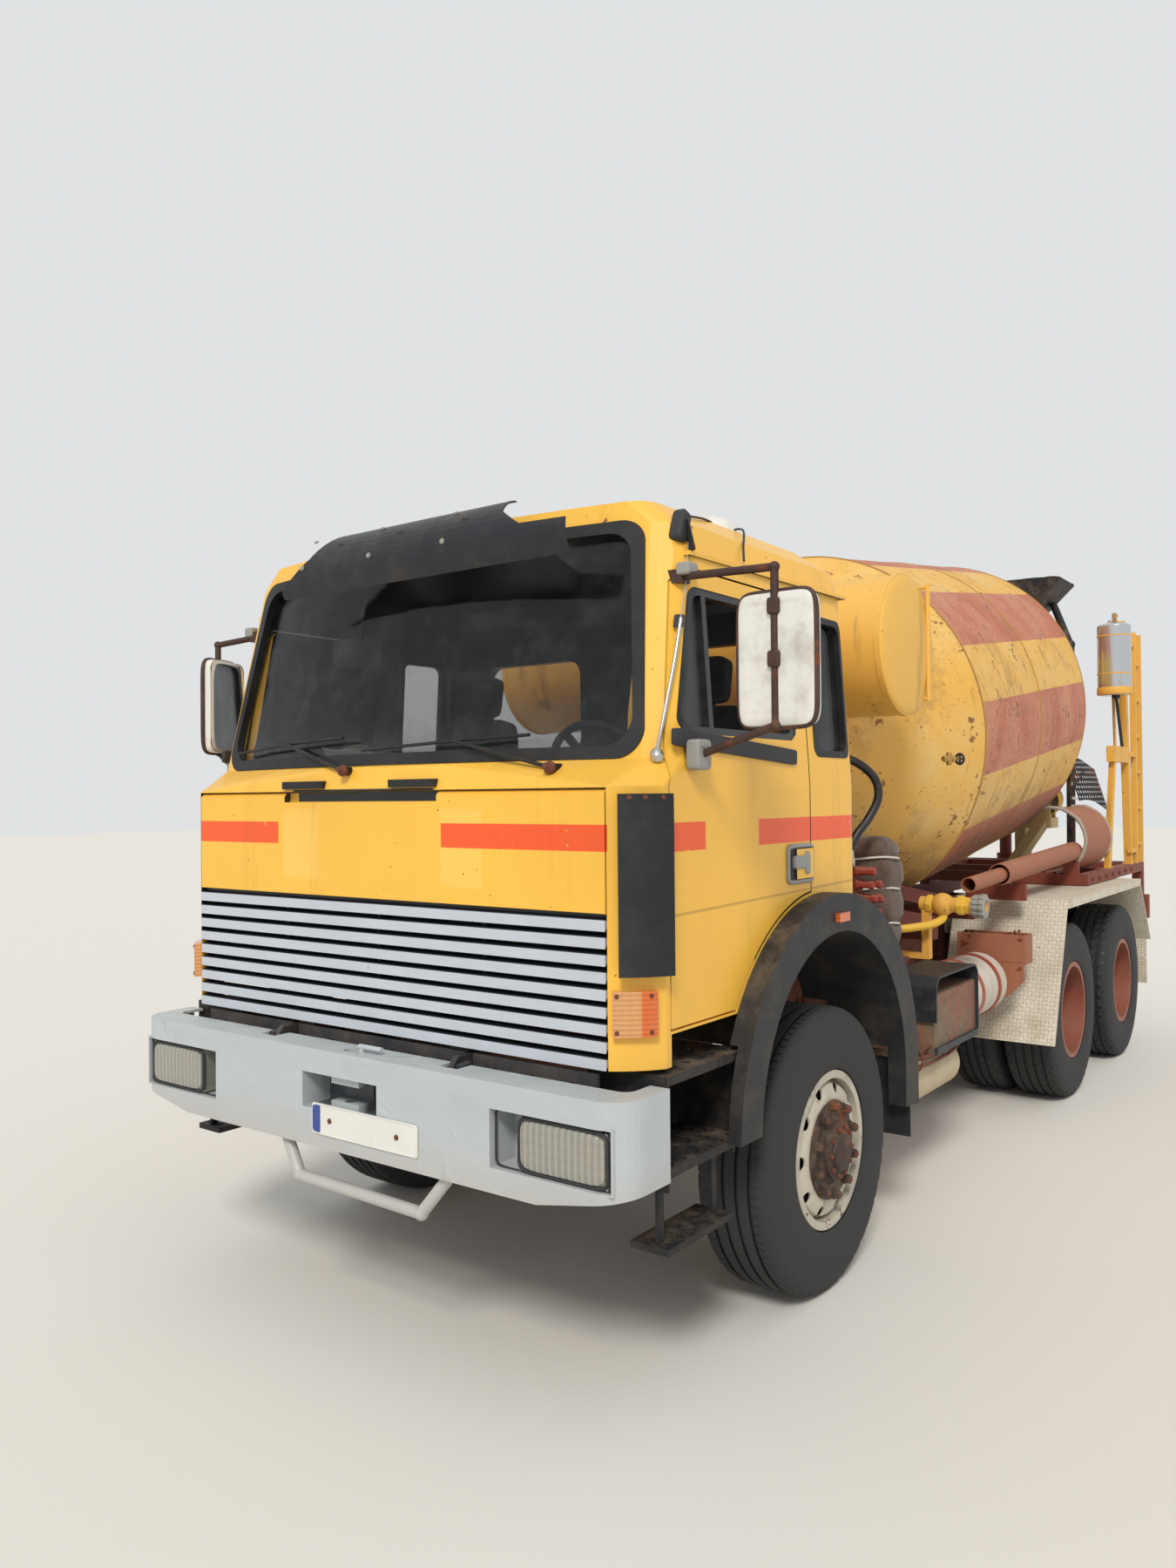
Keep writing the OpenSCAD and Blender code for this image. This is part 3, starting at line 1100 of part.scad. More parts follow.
// Chute: turning post with its arm, and the half-round trough hinged on it.
chute_pivot = [post_x, 0, 1790];
chute_pin_r = 16;
module chute_bracket() color("#8e3d2c") place() {
    translate([post_x, 0, 1200]) cylinder(r = post_r, h = 510);
    translate([post_x, 0, 1345]) cylinder(r = 75, h = 30);
    for (x = [-70, 55]) difference() {
        block([post_x + x, -28, 1700], [post_x + x + 15, 28, chute_pivot[2] + 22]);
        translate([post_x + x - 1, 0, chute_pivot[2]]) rotate([0, 90,
            0]) cylinder(r = chute_pin_r + touch, h = 20);
    }
    block([post_x - 70, -40, 1690], [post_x + 70, 40, 1715]);
}
chute_l = 1050;
chute_r = 200;
chute_up = 250;
module chute() color("#7d5a40") place() {
    translate(chute_pivot) {
        rotate([0, 90, 0]) translate([0, 0, -85]) cylinder(r = chute_pin_r, h = 170);
        rotate([12, 0, 0]) {
            block([-48, -60, -30], [48, 60, chute_up - chute_r + 12]);
            translate([0, 110, chute_up]) rotate([90, 0, 0]) linear_extrude(chute_l) difference() {
                circle(r = chute_r, $fn = 64);
                circle(r = chute_r - 8, $fn = 64);
                translate([-300, 0]) square([600, 400]);
            }
        }
    }
}

chassis_frame();
axles();
leaf_springs();
engine_block();
driveline();
side_tanks();
battery_box();
air_cylinder();
bumper();
lamps();
cab_steps();
drum_frame();
drum_gearbox();
water_tank();
mudguards();
hopper();
rear_platform();
ladder();
canister();
stowed_pipes();
hydraulic_hoses();
cloth_bundle();
valve_block();
water_valve();
cab_shell();
cab_glass();
windscreen_seal();
sun_visor();
dashboard();
seats();
wheel_arches();
corner_vanes();
corner_lamps();
front_panel();
grille();
door_left();
door_right();
door_glass_left();
door_glass_right();
mirror_left();
mirror_right();
knuckle_left();
knuckle_right();
wheel_front_left();
wheel_front_right();
wheels_rear_1_left();
wheels_rear_1_right();
wheels_rear_2_left();
wheels_rear_2_right();
drum();
roller_left();
roller_right();
chute_bracket();
chute();
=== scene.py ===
"""Looks of a weathered concrete mixer truck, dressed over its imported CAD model."""

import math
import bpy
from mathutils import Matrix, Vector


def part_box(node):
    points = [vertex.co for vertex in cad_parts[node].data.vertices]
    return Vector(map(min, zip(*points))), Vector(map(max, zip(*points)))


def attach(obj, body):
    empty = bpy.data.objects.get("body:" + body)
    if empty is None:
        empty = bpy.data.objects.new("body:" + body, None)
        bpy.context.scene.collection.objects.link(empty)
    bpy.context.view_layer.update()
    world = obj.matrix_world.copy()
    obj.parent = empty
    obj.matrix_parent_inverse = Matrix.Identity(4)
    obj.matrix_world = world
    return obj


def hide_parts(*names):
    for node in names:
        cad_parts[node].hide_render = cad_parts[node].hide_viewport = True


bl_info = {
    "name": "Concrete mixer truck",
    "version": (1, 0, 0),
    "blender": (4, 5, 0),
    "location": "3D View > Sidebar > Mixer",
    "description": "Dresses a three-axle concrete mixer truck with worn paint, rubber, glass and cloth",
    "category": "Object",
}

import bpy
import numpy as np
from mathutils import Matrix

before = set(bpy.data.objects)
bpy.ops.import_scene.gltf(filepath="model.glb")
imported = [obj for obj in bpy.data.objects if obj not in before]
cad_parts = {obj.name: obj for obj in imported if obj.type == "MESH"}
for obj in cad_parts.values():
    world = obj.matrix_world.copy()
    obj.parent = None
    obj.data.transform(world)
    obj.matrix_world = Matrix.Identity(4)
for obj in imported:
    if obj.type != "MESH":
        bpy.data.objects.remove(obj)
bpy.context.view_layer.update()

TAU = 2 * math.pi
FORE, LEFT, UP = (1, 0, 0), (0, 1, 0), (0, 0, 1)
SIDES = (("left", 1), ("right", -1))
TRIM = "cast_steel"  # slot of the small pieces


def box(node):
    """Low and high corner of a node's box."""
    return [np.array(corner, float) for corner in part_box(node)]


def middle(node):
    """Middle of a node's box."""
    low, high = box(node)
    return (low + high) / 2


# The truck's own middle lies beside the origin, halfway between its front wheels.
FRONT_AXLE = float(middle("wheel_front_left")[0])
AXLE_Z = float(middle("wheel_front_left")[2])
SIDE = float(middle("wheel_front_left")[1] + middle("wheel_front_right")[1]) / 2
REAR_AXLES = [float(middle(f"wheels_rear_{k}_left")[0]) for k in (1, 2)]
FRONT_TRACK = 1.030  # middle of a front tyre from the truck's middle
REAR_TRACK = 1.065  # middle of an outer rear tyre
TWIN_PITCH = 0.345  # between the two tyres of a pair
BOLTS = 10  # round every wheel
DRUM_TILT = math.radians(7.3)


def at(x, y, z):
    """Point in metres from millimetres measured from the front axle, the middle and the ground."""
    return np.array([x / 1000 + FRONT_AXLE, y / 1000 + SIDE, z / 1000])


def path_at(*points):
    """Smooth path through points in millimetres."""
    return smooth_path([at(*p) for p in points])


DRUM_SEAM = at(-2262, 0, 2250)
DRUM_AXIS = np.array([-math.cos(DRUM_TILT), 0, math.sin(DRUM_TILT)])
DRUM_UP = np.array([math.sin(DRUM_TILT), 0, math.cos(DRUM_TILT)])
# From the front seam along the drum's axis: its second ring seam, the rear cone's seam and the end of the stripes.
DRUM_SEAMS = (0.0, 1.114, 2.230)
STRIPES_END = 3.40


def srgb(r, g, b):
    """Linear colour of an 8-bit display colour."""
    c = np.array([r, g, b]) / 255
    return tuple(float(v) for v in np.where(c <= 0.04045, c / 12.92, ((c + 0.055) / 1.055) ** 2.4))


RUST_DARK = srgb(66, 34, 22)
RUST_LIGHT = srgb(158, 84, 42)
DUST = srgb(176, 152, 124)


def chosen_colour(name):
    """Colour that the user set."""
    return tuple(getattr(bpy.context.scene.mixer_colours, name))


def chosen_size(name):
    """Size in metres that the user set."""
    return round(getattr(bpy.context.scene.mixer_sizes, name), 6)


def look(name):
    """A finish that was made before."""
    return bpy.data.materials[name]


# ---- shader expressions


class Value:
    """One shader socket; sums, products and quotients with it add Math nodes."""

    def __init__(self, finish, socket):
        self.finish, self.socket = finish, socket

    def _math(self, kind, a, b=0.0, clamp=False):
        return self.finish.node("ShaderNodeMath", {"operation": kind, "use_clamp": clamp}, {0: a, 1: b})

    def __add__(self, other):
        return self._math("ADD", self, other)

    def __sub__(self, other):
        return self._math("SUBTRACT", self, other)

    def __rsub__(self, other):
        return self._math("SUBTRACT", other, self)

    def __mul__(self, other):
        return self._math("MULTIPLY", self, other)

    def __truediv__(self, other):
        return self._math("DIVIDE", self, other)

    def __abs__(self):
        return self._math("ABSOLUTE", self)

    def sin(self):
        return self._math("SINE", self)

    def fract(self):
        return self._math("FRACT", self)

    def clamped(self):
        return self._math("ADD", self, 0.0, True)

    def either(self, *others):
        """The greatest of some masks."""
        most = self
        for other in others:
            most = self._math("MAXIMUM", most, other)
        return most

    __radd__ = __add__
    __rmul__ = __mul__


class Finish:
    """A material whose methods add nodes and hand back their sockets as Value."""

    def __init__(self, name):
        self.material = bpy.data.materials.new(name)
        self.material.use_nodes = True
        self.tree = self.material.node_tree
        self.tree.nodes.clear()
        output = self.tree.nodes.new("ShaderNodeOutputMaterial")
        self.shader = self.tree.nodes.new("ShaderNodeBsdfPrincipled")
        self.tree.links.new(self.shader.outputs[0], output.inputs[0])
        self.position = self.node("ShaderNodeTexCoord", out="Object")
        self.x, across, self.z = self.split(self.position)
        self.y = across - SIDE

    def put(self, socket, value):
        """Links a Value to a socket, or sets the socket's own number, vector or colour."""
        if isinstance(value, Value):
            self.tree.links.new(value.socket, socket)
        elif hasattr(value, "__len__") and socket.type == "RGBA":
            socket.default_value = (*value[:3], 1.0)
        else:
            socket.default_value = value

    def node(self, kind, settings=None, values=None, out=0):
        """Adds a node, sets its settings first and its sockets next, and returns one output."""
        made = self.tree.nodes.new(kind)
        for key, value in (settings or {}).items():
            setattr(made, key, value)
        for key, value in (values or {}).items():
            self.put(made.inputs[key], value)
        return Value(self, made.outputs[out])

    def vector(self, kind, a, b, out=0):
        """One step of vector arithmetic."""
        return self.node("ShaderNodeVectorMath", {"operation": kind}, {0: a, 1: b}, out)

    def split(self, vector):
        """The three parts of a vector."""
        made = self.tree.nodes.new("ShaderNodeSeparateXYZ")
        self.put(made.inputs[0], vector)
        return [Value(self, s) for s in made.outputs]

    def join(self, x, y, z):
        """A vector of three parts."""
        return self.node("ShaderNodeCombineXYZ", None, {0: x, 1: y, 2: z})

    def along(self, direction, origin):
        """Distance from origin along a direction."""
        shifted = self.vector("SUBTRACT", self.position, tuple(origin))
        return self.vector("DOT_PRODUCT", shifted, tuple(direction), "Value")

    def distance(self, a, b):
        """Length of the vector with the parts a and b."""
        return self.node("ShaderNodeVectorMath", {"operation": "LENGTH"}, {0: self.join(a, b, 0.0)}, "Value")

    def noise(self, scale, detail=4.0, rough=0.55, stretch=None, where=None):
        """Cloudy noise about 0.5, of the position or of where, stretched by three factors."""
        where = self.vector("MULTIPLY", self.position, stretch) if stretch else (where or self.position)
        return self.node("ShaderNodeTexNoise", None,
                         {"Vector": where, "Scale": scale, "Detail": detail, "Roughness": rough})

    def mottled(self, coarse, detail, rough, fine, share=0.6, fine_rough=0.55):
        """Coarse noise with a share of fine noise in it, for patches with ragged edges."""
        return self.noise(coarse, detail, rough) * share + self.noise(fine, 4.0, fine_rough) * round(1 - share, 6)

    def patches(self, scale, low, high, detail=6.0, rough=0.7, stretch=None):
        """Noise cut to soft patches: 0 below low and 1 above high."""
        return self.step(self.noise(scale, detail, rough, stretch), low, high)

    def cells(self, scale, feature="F1"):
        """Distance to scattered points, or to the walls between them."""
        return self.node("ShaderNodeTexVoronoi", {"feature": feature},
                         {"Vector": self.position, "Scale": scale}, "Distance")

    def step(self, value, low, high):
        """Smooth rise from 0 at low to 1 at high."""
        return self.node("ShaderNodeMapRange", {"interpolation_type": "SMOOTHSTEP"},
                         {"Value": value, "From Min": low, "From Max": high})

    def under(self, value, low, high):
        """Smooth fall from 1 at low to 0 at high."""
        return 1 - self.step(value, low, high)

    def band(self, value, low, high, soft=0.002):
        """1 between low and high, with soft edges."""
        return self.step(value, low - soft, low + soft) * self.under(value, high - soft, high + soft)

    def mix(self, mask, a, b):
        """Colour a where the mask is 0, b where it is 1."""
        return self.node("ShaderNodeMix", {"data_type": "RGBA"}, {0: mask, 6: a, 7: b}, 2)

    def shade(self, colour, factor):
        """Colour times a grey factor."""
        grey = self.join(factor, factor, factor)
        return self.node("ShaderNodeMix", {"data_type": "RGBA", "blend_type": "MULTIPLY"},
                         {0: 1.0, 6: colour, 7: grey}, 2)

    def rust(self, scale=30.0, detail=4.0, rough=0.55, light=RUST_LIGHT):
        """Rust that wanders between dark and light."""
        return self.mix(self.noise(scale, detail, rough), RUST_DARK, light)

    def facing(self):
        """The three parts of the surface's own direction."""
        return self.split(self.node("ShaderNodeTexCoord", out="Normal"))

    def bump(self, height, distance, strength=0.6):
        """Relief of a height in metres."""
        self.put(self.shader.inputs["Normal"],
                 self.node("ShaderNodeBump", None, {"Strength": strength, "Distance": distance, "Height": height}))

    def done(self, **values):
        """Sets the shader's sockets by name and returns the material."""
        for key, value in values.items():
            self.put(self.shader.inputs[key.replace("_", " ")], value)
        return self.material


def weathered(f, colour, rough=0.42, rust=0.3, dust=0.35, streaks=0.3, chips=0.3, low=0.9, coat=0.0,
              grain=0.0006):
    """Paint that has faded in patches, with chips, rust, rain streaks and dust below low and on top."""
    broad = f.noise(1.3, 5.0, 0.6)
    fine = f.noise(60.0, 3.0, 0.6)
    colour = f.shade(colour, 0.86 + 0.28 * broad)
    runs = f.patches(6.0, 0.56, 0.78, 4.0, 0.65, (1.0, 1.0, 0.09)) * streaks
    colour = f.mix(runs, colour, srgb(74, 58, 44))
    edge = 0.705 - 0.14 * rust
    rusty = f.step(f.mottled(3.1, 6.0, 0.7, 24.0, 0.62, 0.6), edge, edge + 0.028) * (1.0 if rust else 0.0)
    spots = f.step(f.cells(19.0), 0.07 + 0.08 * chips, 0.03) * f.step(broad, 0.45, 0.6) * (1.0 if chips else 0.0)
    rusty = rusty.either(spots)
    colour = f.mix(rusty, colour, f.rust(38.0, 5.0, 0.7))
    up = f.step(f.facing()[2], 0.35, 0.95)
    settled = f.under(f.z, low - 0.5, low + 0.35).either(up * 0.55) * f.patches(4.5, 0.28, 0.7, 6.0, 0.65)
    dusty = (settled * dust).clamped()
    f.bump(rusty * 0.5 + fine * 0.25, grain * 3)
    return f.done(Base_Color=f.mix(dusty, colour, DUST), Coat_Weight=coat,
                  Roughness=(rough + rusty * 0.42 + dusty * 0.4 + fine * 0.06 + broad * 0.08).clamped())


# ---- surfaces


class Shell:
    """Points and faces of one piece, gathered from grids, tubes and turned profiles."""

    def __init__(self):
        self.points, self.faces, self.count = [], [], 0

    def add(self, points, faces):
        """Takes in points and the faces over them."""
        self.points.append(np.asarray(points, float).reshape(-1, 3))
        self.faces += [tuple(int(i) + self.count for i in face) for face in faces]
        self.count += len(self.points[-1])

    def grid(self, p, wrap_u=False, wrap_v=False, cap=False):
        """Quads over a grid p[u, v]; cap closes the end rows with fans. A form closed round v is turned outward."""
        nu, nv = p.shape[:2]
        u, v = np.meshgrid(np.arange(nu if wrap_u else nu - 1), np.arange(nv if wrap_v else nv - 1), indexing="ij")
        next_u, next_v = (u + 1) % nu, (v + 1) % nv
        quads = np.stack([u * nv + v, next_u * nv + v, next_u * nv + next_v, u * nv + next_v], -1).reshape(-1, 4)
        points = np.asarray(p, float).reshape(-1, 3)
        flip = False
        if wrap_v:
            q = points[quads] - points.mean(0)
            turn = np.cross(q[:, 1], q[:, 2]) + np.cross(q[:, 2], q[:, 3])
            flip = float(np.sum(q[:, 0] * turn)) < 0
        faces = quads.tolist()
        if cap:
            for row, back in ((0, False), (nu - 1, True)):
                ring = row * nv + np.arange(nv)
                points = np.vstack([points, points[ring].mean(0)])
                fan = [(len(points) - 1, int(i), int(j)) for i, j in zip(ring, np.roll(ring, -1))]
                faces += [f[::-1] for f in fan] if back else fan
        self.add(points, [f[::-1] for f in faces] if flip else faces)
        return self

    def tube(self, path, radius, sides=12, closed=False):
        """Circle of a radius carried along a path; its first direction is turned with the path."""
        p = np.asarray(path, float)
        t = np.roll(p, -1, 0) - np.roll(p, 1, 0) if closed else np.gradient(p, axis=0)
        t /= np.linalg.norm(t, axis=1)[:, None]
        side = np.cross(t[0], [0.31, 0.23, 0.92])
        rows = []
        for d in t:
            side = side - d * side.dot(d)
            side = side / np.linalg.norm(side)
            rows.append(side)
        u = np.array(rows)
        v = np.cross(t, u)
        a = np.arange(sides) / sides * TAU
        r = np.broadcast_to(radius, len(p))[:, None, None]
        ring = p[:, None] + r * (np.cos(a)[None, :, None] * u[:, None] + np.sin(a)[None, :, None] * v[:, None])
        return self.grid(ring, wrap_u=closed, wrap_v=True, cap=not closed)

    def turned(self, profile, origin, axis, sides=48, closed=False, wobble=None):
        """Profile of [radius, height] turned about an axis through origin; wobble(angle, height) is added to r."""
        axis = np.asarray(axis, float) / np.linalg.norm(axis)
        up = np.array(UP) - axis * axis[2]
        if np.linalg.norm(up) < 0.1:
            up = np.array(FORE) - axis * axis[0]
        up /= np.linalg.norm(up)
        profile = np.asarray(profile, float)
        a = np.arange(sides) / sides * TAU
        side = np.cross(axis, up)
        r = profile[:, 0][:, None] + (wobble(a[None, :], profile[:, 1][:, None]) if wobble else 0)
        ring = (np.asarray(origin) + profile[:, 1][:, None, None] * axis
                + r[..., None] * (np.cos(a)[None, :, None] * up + np.sin(a)[None, :, None] * side))
        return self.grid(ring, wrap_u=closed, wrap_v=True, cap=not closed)

    def pillow(self, middle, size, power=(0.35, 0.35), turn=None, nu=24, nv=48, dent=None):
        """Rounded block: a sphere whose sines and cosines are raised to small powers, then scaled and turned."""
        u = np.linspace(-math.pi / 2, math.pi / 2, nu)[:, None]
        v = np.arange(nv)[None, :] / nv * TAU

        def bent(value, k):
            return np.sign(value) * np.abs(value) ** k

        p = np.stack([bent(np.cos(u), power[0]) * bent(np.cos(v), power[1]),
                      bent(np.cos(u), power[0]) * bent(np.sin(v), power[1]),
                      bent(np.sin(u), power[0]) * np.ones_like(v)], -1)
        p = p * (np.asarray(size) / 2)
        if dent:
            p = dent(p)
        if turn is not None:
            p = p @ np.array(turn).T
        return self.grid(p[1:-1] + np.asarray(middle), wrap_v=True, cap=True)

    def plate(self, outline, thick, origin, across, rise):
        """Flat outline in the plane of two directions, given a thickness along their cross product."""
        u, v = np.asarray(across, float), np.asarray(rise, float)
        u, v = u / np.linalg.norm(u), v / np.linalg.norm(v)
        a, b = np.asarray(outline, float).T[..., None]
        rows = np.array([np.asarray(origin) + a * u + b * v + h * np.cross(u, v) for h in (0, thick)])
        n = len(outline)
        i = np.arange(n)
        j = (i + 1) % n
        faces = [tuple(i[::-1]), tuple(i + n)] + list(zip(i, j, j + n, i + n))
        q = rows - rows.mean((0, 1))
        after = np.roll(q, -1, 1)
        wall = np.sum(q[0] * np.cross(after[0], q[1])) + np.sum(after[0] * np.cross(after[1], q[1]))
        self.add(rows.reshape(-1, 3), [f[::-1] for f in faces] if wall < 0 else faces)
        return self

    def heads(self, spots, axis, radius, height):
        """Hexagon heads on washers: a short stepped profile turned at each spot."""
        for spot in spots:
            self.turned([(1.3 * radius, 0), (1.3 * radius, 0.2 * height), (radius, 0.2 * height),
                         (radius, 0.85 * height), (0.8 * radius, height)], spot, axis, sides=6)
        return self

    def moved(self, place, mirrored=False):
        """All points sent through place; a mirrored form has its faces turned round."""
        self.points = [place(q) for q in self.points]
        if mirrored:
            self.faces = [f[::-1] for f in self.faces]
        return self

    def piece(self, name, material, body, slot, smooth=0.6, bevel=0.0):
        """Makes the object, with edges sharper than smooth radians kept sharp, and gives it its body; slot is not
        used.
        """
        mesh = bpy.data.meshes.new(name)
        mesh.from_pydata(np.vstack(self.points).tolist(), [], self.faces)
        mesh.update()
        made = bpy.data.objects.new(name, mesh)
        bpy.context.scene.collection.objects.link(made)
        mesh.materials.append(material)
        if smooth:
            mesh.polygons.foreach_set("use_smooth", [True] * len(mesh.polygons))
            mesh.set_sharp_from_angle(angle=smooth)
        if bevel:
            cut = made.modifiers.new("Edges", "BEVEL")
            cut.width, cut.segments, cut.limit_method = bevel, 2, "ANGLE"
        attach(made, body)
        return made


def rounded(width, height, r):
    """Outline of a rounded rectangle about its middle."""
    a = np.linspace(0, math.pi / 2, 6)
    rows = [np.stack([sx * (width / 2 - r) + r * np.cos(a + k * math.pi / 2),
                      sy * (height / 2 - r) + r * np.sin(a + k * math.pi / 2)], -1)
            for k, (sx, sy) in enumerate(((1, 1), (-1, 1), (-1, -1), (1, -1)))]
    return np.vstack(rows)


def smooth_path(points, n=8):
    """Catmull-Rom curve through points: each stretch blends its four nearest points by cubic weights."""
    p = np.asarray(points, float)
    q = np.vstack([2 * p[0] - p[1], p, 2 * p[-1] - p[-2]])
    t = np.linspace(0, 1, n, endpoint=False)[:, None]
    rows = [0.5 * (2 * b + (c - a) * t + (2 * a - 5 * b + 4 * c - d) * t ** 2 + (3 * b - a - 3 * c + d) * t ** 3)
            for a, b, c, d in zip(q, q[1:], q[2:], q[3:])]
    return np.vstack(rows + [p[-1:]])


def waves(p, scale, seed, depth=3):
    """Smooth pseudo-noise: sines of random directions, halved in size at each doubling of frequency."""
    pick = np.random.default_rng(seed)
    total = np.zeros(p.shape[:-1])
    for k in range(depth):
        for _ in range(5):
            d = pick.normal(size=3)
            d *= scale * 2 ** k / np.linalg.norm(d)
            total += np.sin(p @ d + pick.uniform(0, TAU)) * 0.5 ** k / 5
    return total


def ring_path(middle, across, rise, rx, ry, n=64, power=1.0):
    """Closed loop: cosine and sine raised to a power, scaled along two directions."""
    a = np.arange(n) / n * TAU
    u = np.sign(np.cos(a)) * np.abs(np.cos(a)) ** power * rx
    v = np.sign(np.sin(a)) * np.abs(np.sin(a)) ** power * ry
    return np.asarray(middle) + u[:, None] * np.asarray(across, float) + v[:, None] * np.asarray(rise, float)


def turned_by(degrees, axis):
    """Rotation about one axis of the frame."""
    return np.array(Matrix.Rotation(math.radians(degrees), 3, axis))


# ---- finishes of this truck


def cab_yellow():
    """Faded yellow enamel, with the orange stripes at their places on the front and the sides."""
    f = Finish("cab_yellow")
    x, y, z = f.x - FRONT_AXLE, f.y, f.z
    front, side = f.step(x, 1.235, 1.24), f.step(abs(y), 1.13, 1.14)
    on_front = f.band(z, 1.731, 1.814) * f.band(y, -1.037, -0.528).either(f.band(y, 0.334, 1.030)) * front
    on_side = f.band(z, 1.726, 1.817) * f.band(x, 0.886, 1.085).either(f.band(x, -0.368, 0.525)) * side
    touched = (f.band(z, 1.60, 1.86, 0.01) * f.band(y, 0.33, 0.52, 0.01).either(f.band(y, -0.50, -0.30, 0.01))
               * front)
    body = f.mix(touched * 0.35, chosen_colour("cab_yellow"), srgb(250, 208, 112))
    worn = f.patches(35.0, 0.66, 0.70, 4.0, 0.55)
    colour = f.mix((on_front + on_side) * (1 - worn * 0.7), body, chosen_colour("stripe_orange"))
    # A narrow band of painted shade runs along the side crease.
    crease = f.band(z + x * 0.02, 1.545, 1.553, 0.003) * side
    colour = f.mix(crease * 0.45, colour, srgb(120, 84, 30))
    scabs = f.step(f.mottled(5.0, 6.0, 0.75, 30.0), 0.612, 0.64) * f.step(z, 2.66, 2.80)
    colour = f.mix(scabs, colour, f.rust(40.0))
    # Faces turned toward the middle of the cab get painted shade, dark as the cab's shaded inside; undersides such as
    # the drip rail's get it too.
    nx, ny, nz = f.facing()
    inward = f.step(nx * (x - 0.35) + ny * y + nz * (z - 1.95), 0.01, -0.01)
    colour = f.mix(inward * f.step(z, 1.32, 1.34), colour, srgb(40, 40, 44))
    # The hollow behind the grille and the finger slot over the flap get painted shade, and the lugs below the flap
    # are painted dark grey.
    low, high = box("grille")
    half = float(high[1] - low[1]) / 2
    behind = (f.band(z, float(low[2]) - 0.03, float(high[2]) + 0.001) * f.step(x, 1.05, 1.06)
              * f.under(abs(y), half - 0.006, half - 0.002))
    slot_shade = f.band(z, 1.890, 1.935) * f.band(y, -0.44, 0.30) * f.step(x, 1.22, 1.23)
    # Painted shade in the hollow behind the grille and in the finger slot.
    colour = f.mix(behind.either(slot_shade), colour, srgb(20, 20, 24))
    lugs = f.under(z, 1.058, 1.063) * f.step(x, 1.10, 1.11) * f.under(abs(y), 0.95, 0.96)
    colour = f.mix(lugs, colour, srgb(38, 40, 44))
    return weathered(f, colour, 0.34, rust=0.12, dust=0.30, streaks=0.16, chips=0.25, low=1.1, coat=0.15)


def drum_finish():
    """Yellow drum with nine faded red lengthwise stripes, grime that runs round it and cement splashes."""
    f = Finish("drum_paint")
    s = f.along(DRUM_AXIS, DRUM_SEAM)
    up = f.along(DRUM_UP, DRUM_SEAM)
    angle = f.node("ShaderNodeMath", {"operation": "ARCTAN2"}, {0: f.y, 1: up}) * (180 / math.pi)
    turn = ((angle + 360 - 53 + 20) / 40).fract()
    stripe = (f.band(turn, 0.225, 0.775, 0.004) * f.step(s, -0.003, 0.003)
              * f.under(s, STRIPES_END, STRIPES_END + 0.01))
    worn = f.noise(2.2, 6.0, 0.65)
    yellow = f.mix(f.step(worn, 0.35, 0.7), chosen_colour("drum_yellow"), srgb(224, 186, 112))
    red = f.mix(f.patches(3.0, 0.35, 0.68, 5.0, 0.6), chosen_colour("drum_red"), srgb(196, 128, 108))
    colour = f.mix(stripe * (0.9 - 0.25 * f.patches(50.0, 0.5, 0.7, 4.0, 0.55)), yellow, red)
    # Runs follow the turning: noise of the way along the axis and of the direction from it.
    radius = f.distance(f.y, up) + 0.01
    ring = f.join(s * 9.0, f.y / radius * 1.6, up / radius * 1.6)
    drips = f.step(f.noise(1.9, 6.0, 0.72, None, ring), 0.56, 0.70) * f.step(s, -0.6, 0.6)
    colour = f.mix(drips * 0.85, colour, srgb(82, 56, 38))
    ring = f.join(s * 22.0, f.y / radius * 3.0, up / radius * 3.0)
    fine_drips = f.step(f.noise(2.0, 5.0, 0.6, None, ring), 0.5, 0.8) * f.step(s, -0.4, 2.2)
    colour = f.mix(fine_drips * 0.4, colour, srgb(120, 90, 62))
    spatter = f.step(f.cells(34.0), 0.20, 0.06) * f.patches(4.0, 0.42, 0.58, 4.0, 0.55)
    colour = f.mix(spatter * 0.75, colour, srgb(104, 78, 54))
    stain = f.patches(2.6, 0.50, 0.66, 7.0, 0.78) * f.patches(1.2, 0.40, 0.56, 3.0, 0.55)
    colour = f.mix(stain * 0.42, colour, srgb(126, 96, 60))
    scabs = f.step(f.mottled(6.0, 6.0, 0.75, 34.0), 0.585, 0.61)
    colour = f.mix(scabs * 0.85, colour, f.rust(light=srgb(150, 84, 48)))
    underside = f.step(up, -0.35, -0.95)
    colour = f.mix(underside * f.patches(3.0, 0.3, 0.6, 5.0, 0.55) * 0.65, colour, srgb(86, 58, 46))
    seams = f.band(s, -0.006, 0.006, 0.003).either(f.band(s, 2.224, 2.236, 0.003), f.band(s, 1.11, 1.118, 0.002))
    colour = f.mix(seams * 0.6, colour, srgb(90, 66, 40))
    grit = f.noise(90.0, 4.0, 0.7)
    f.bump(grit * 0.4 + spatter * 0.8 + seams + drips * 0.4, 0.004)
    return f.done(Base_Color=f.shade(colour, 0.88 + 0.24 * f.noise(1.1)),
                  Roughness=(0.55 + drips * 0.25 + grit * 0.15).clamped())


def plain(name, colour, **how):
    """Weathered paint of one colour."""
    return weathered(Finish(name), colour, **how)


def black_plastic(name, colour, rough=0.5, dust=0.25):
    """Sun-greyed moulded plastic with a fine grain and dust."""
    f = Finish(name)
    grey = f.patches(3.0, 0.35, 0.75)
    fine = f.noise(240.0, 2.0)
    body = f.mix(grey * 0.35, colour, srgb(46, 50, 57))
    up = f.step(f.facing()[2], 0.3, 0.95)
    dusty = (f.patches(7.0, 0.42, 0.72) * (0.25 + up * 0.6) * dust).clamped()
    f.bump(fine, 0.0006, 0.5)
    return f.done(Base_Color=f.mix(dusty, body, DUST),
                  Roughness=(rough + grey * 0.15 + dusty * 0.3 + fine * 0.05).clamped())


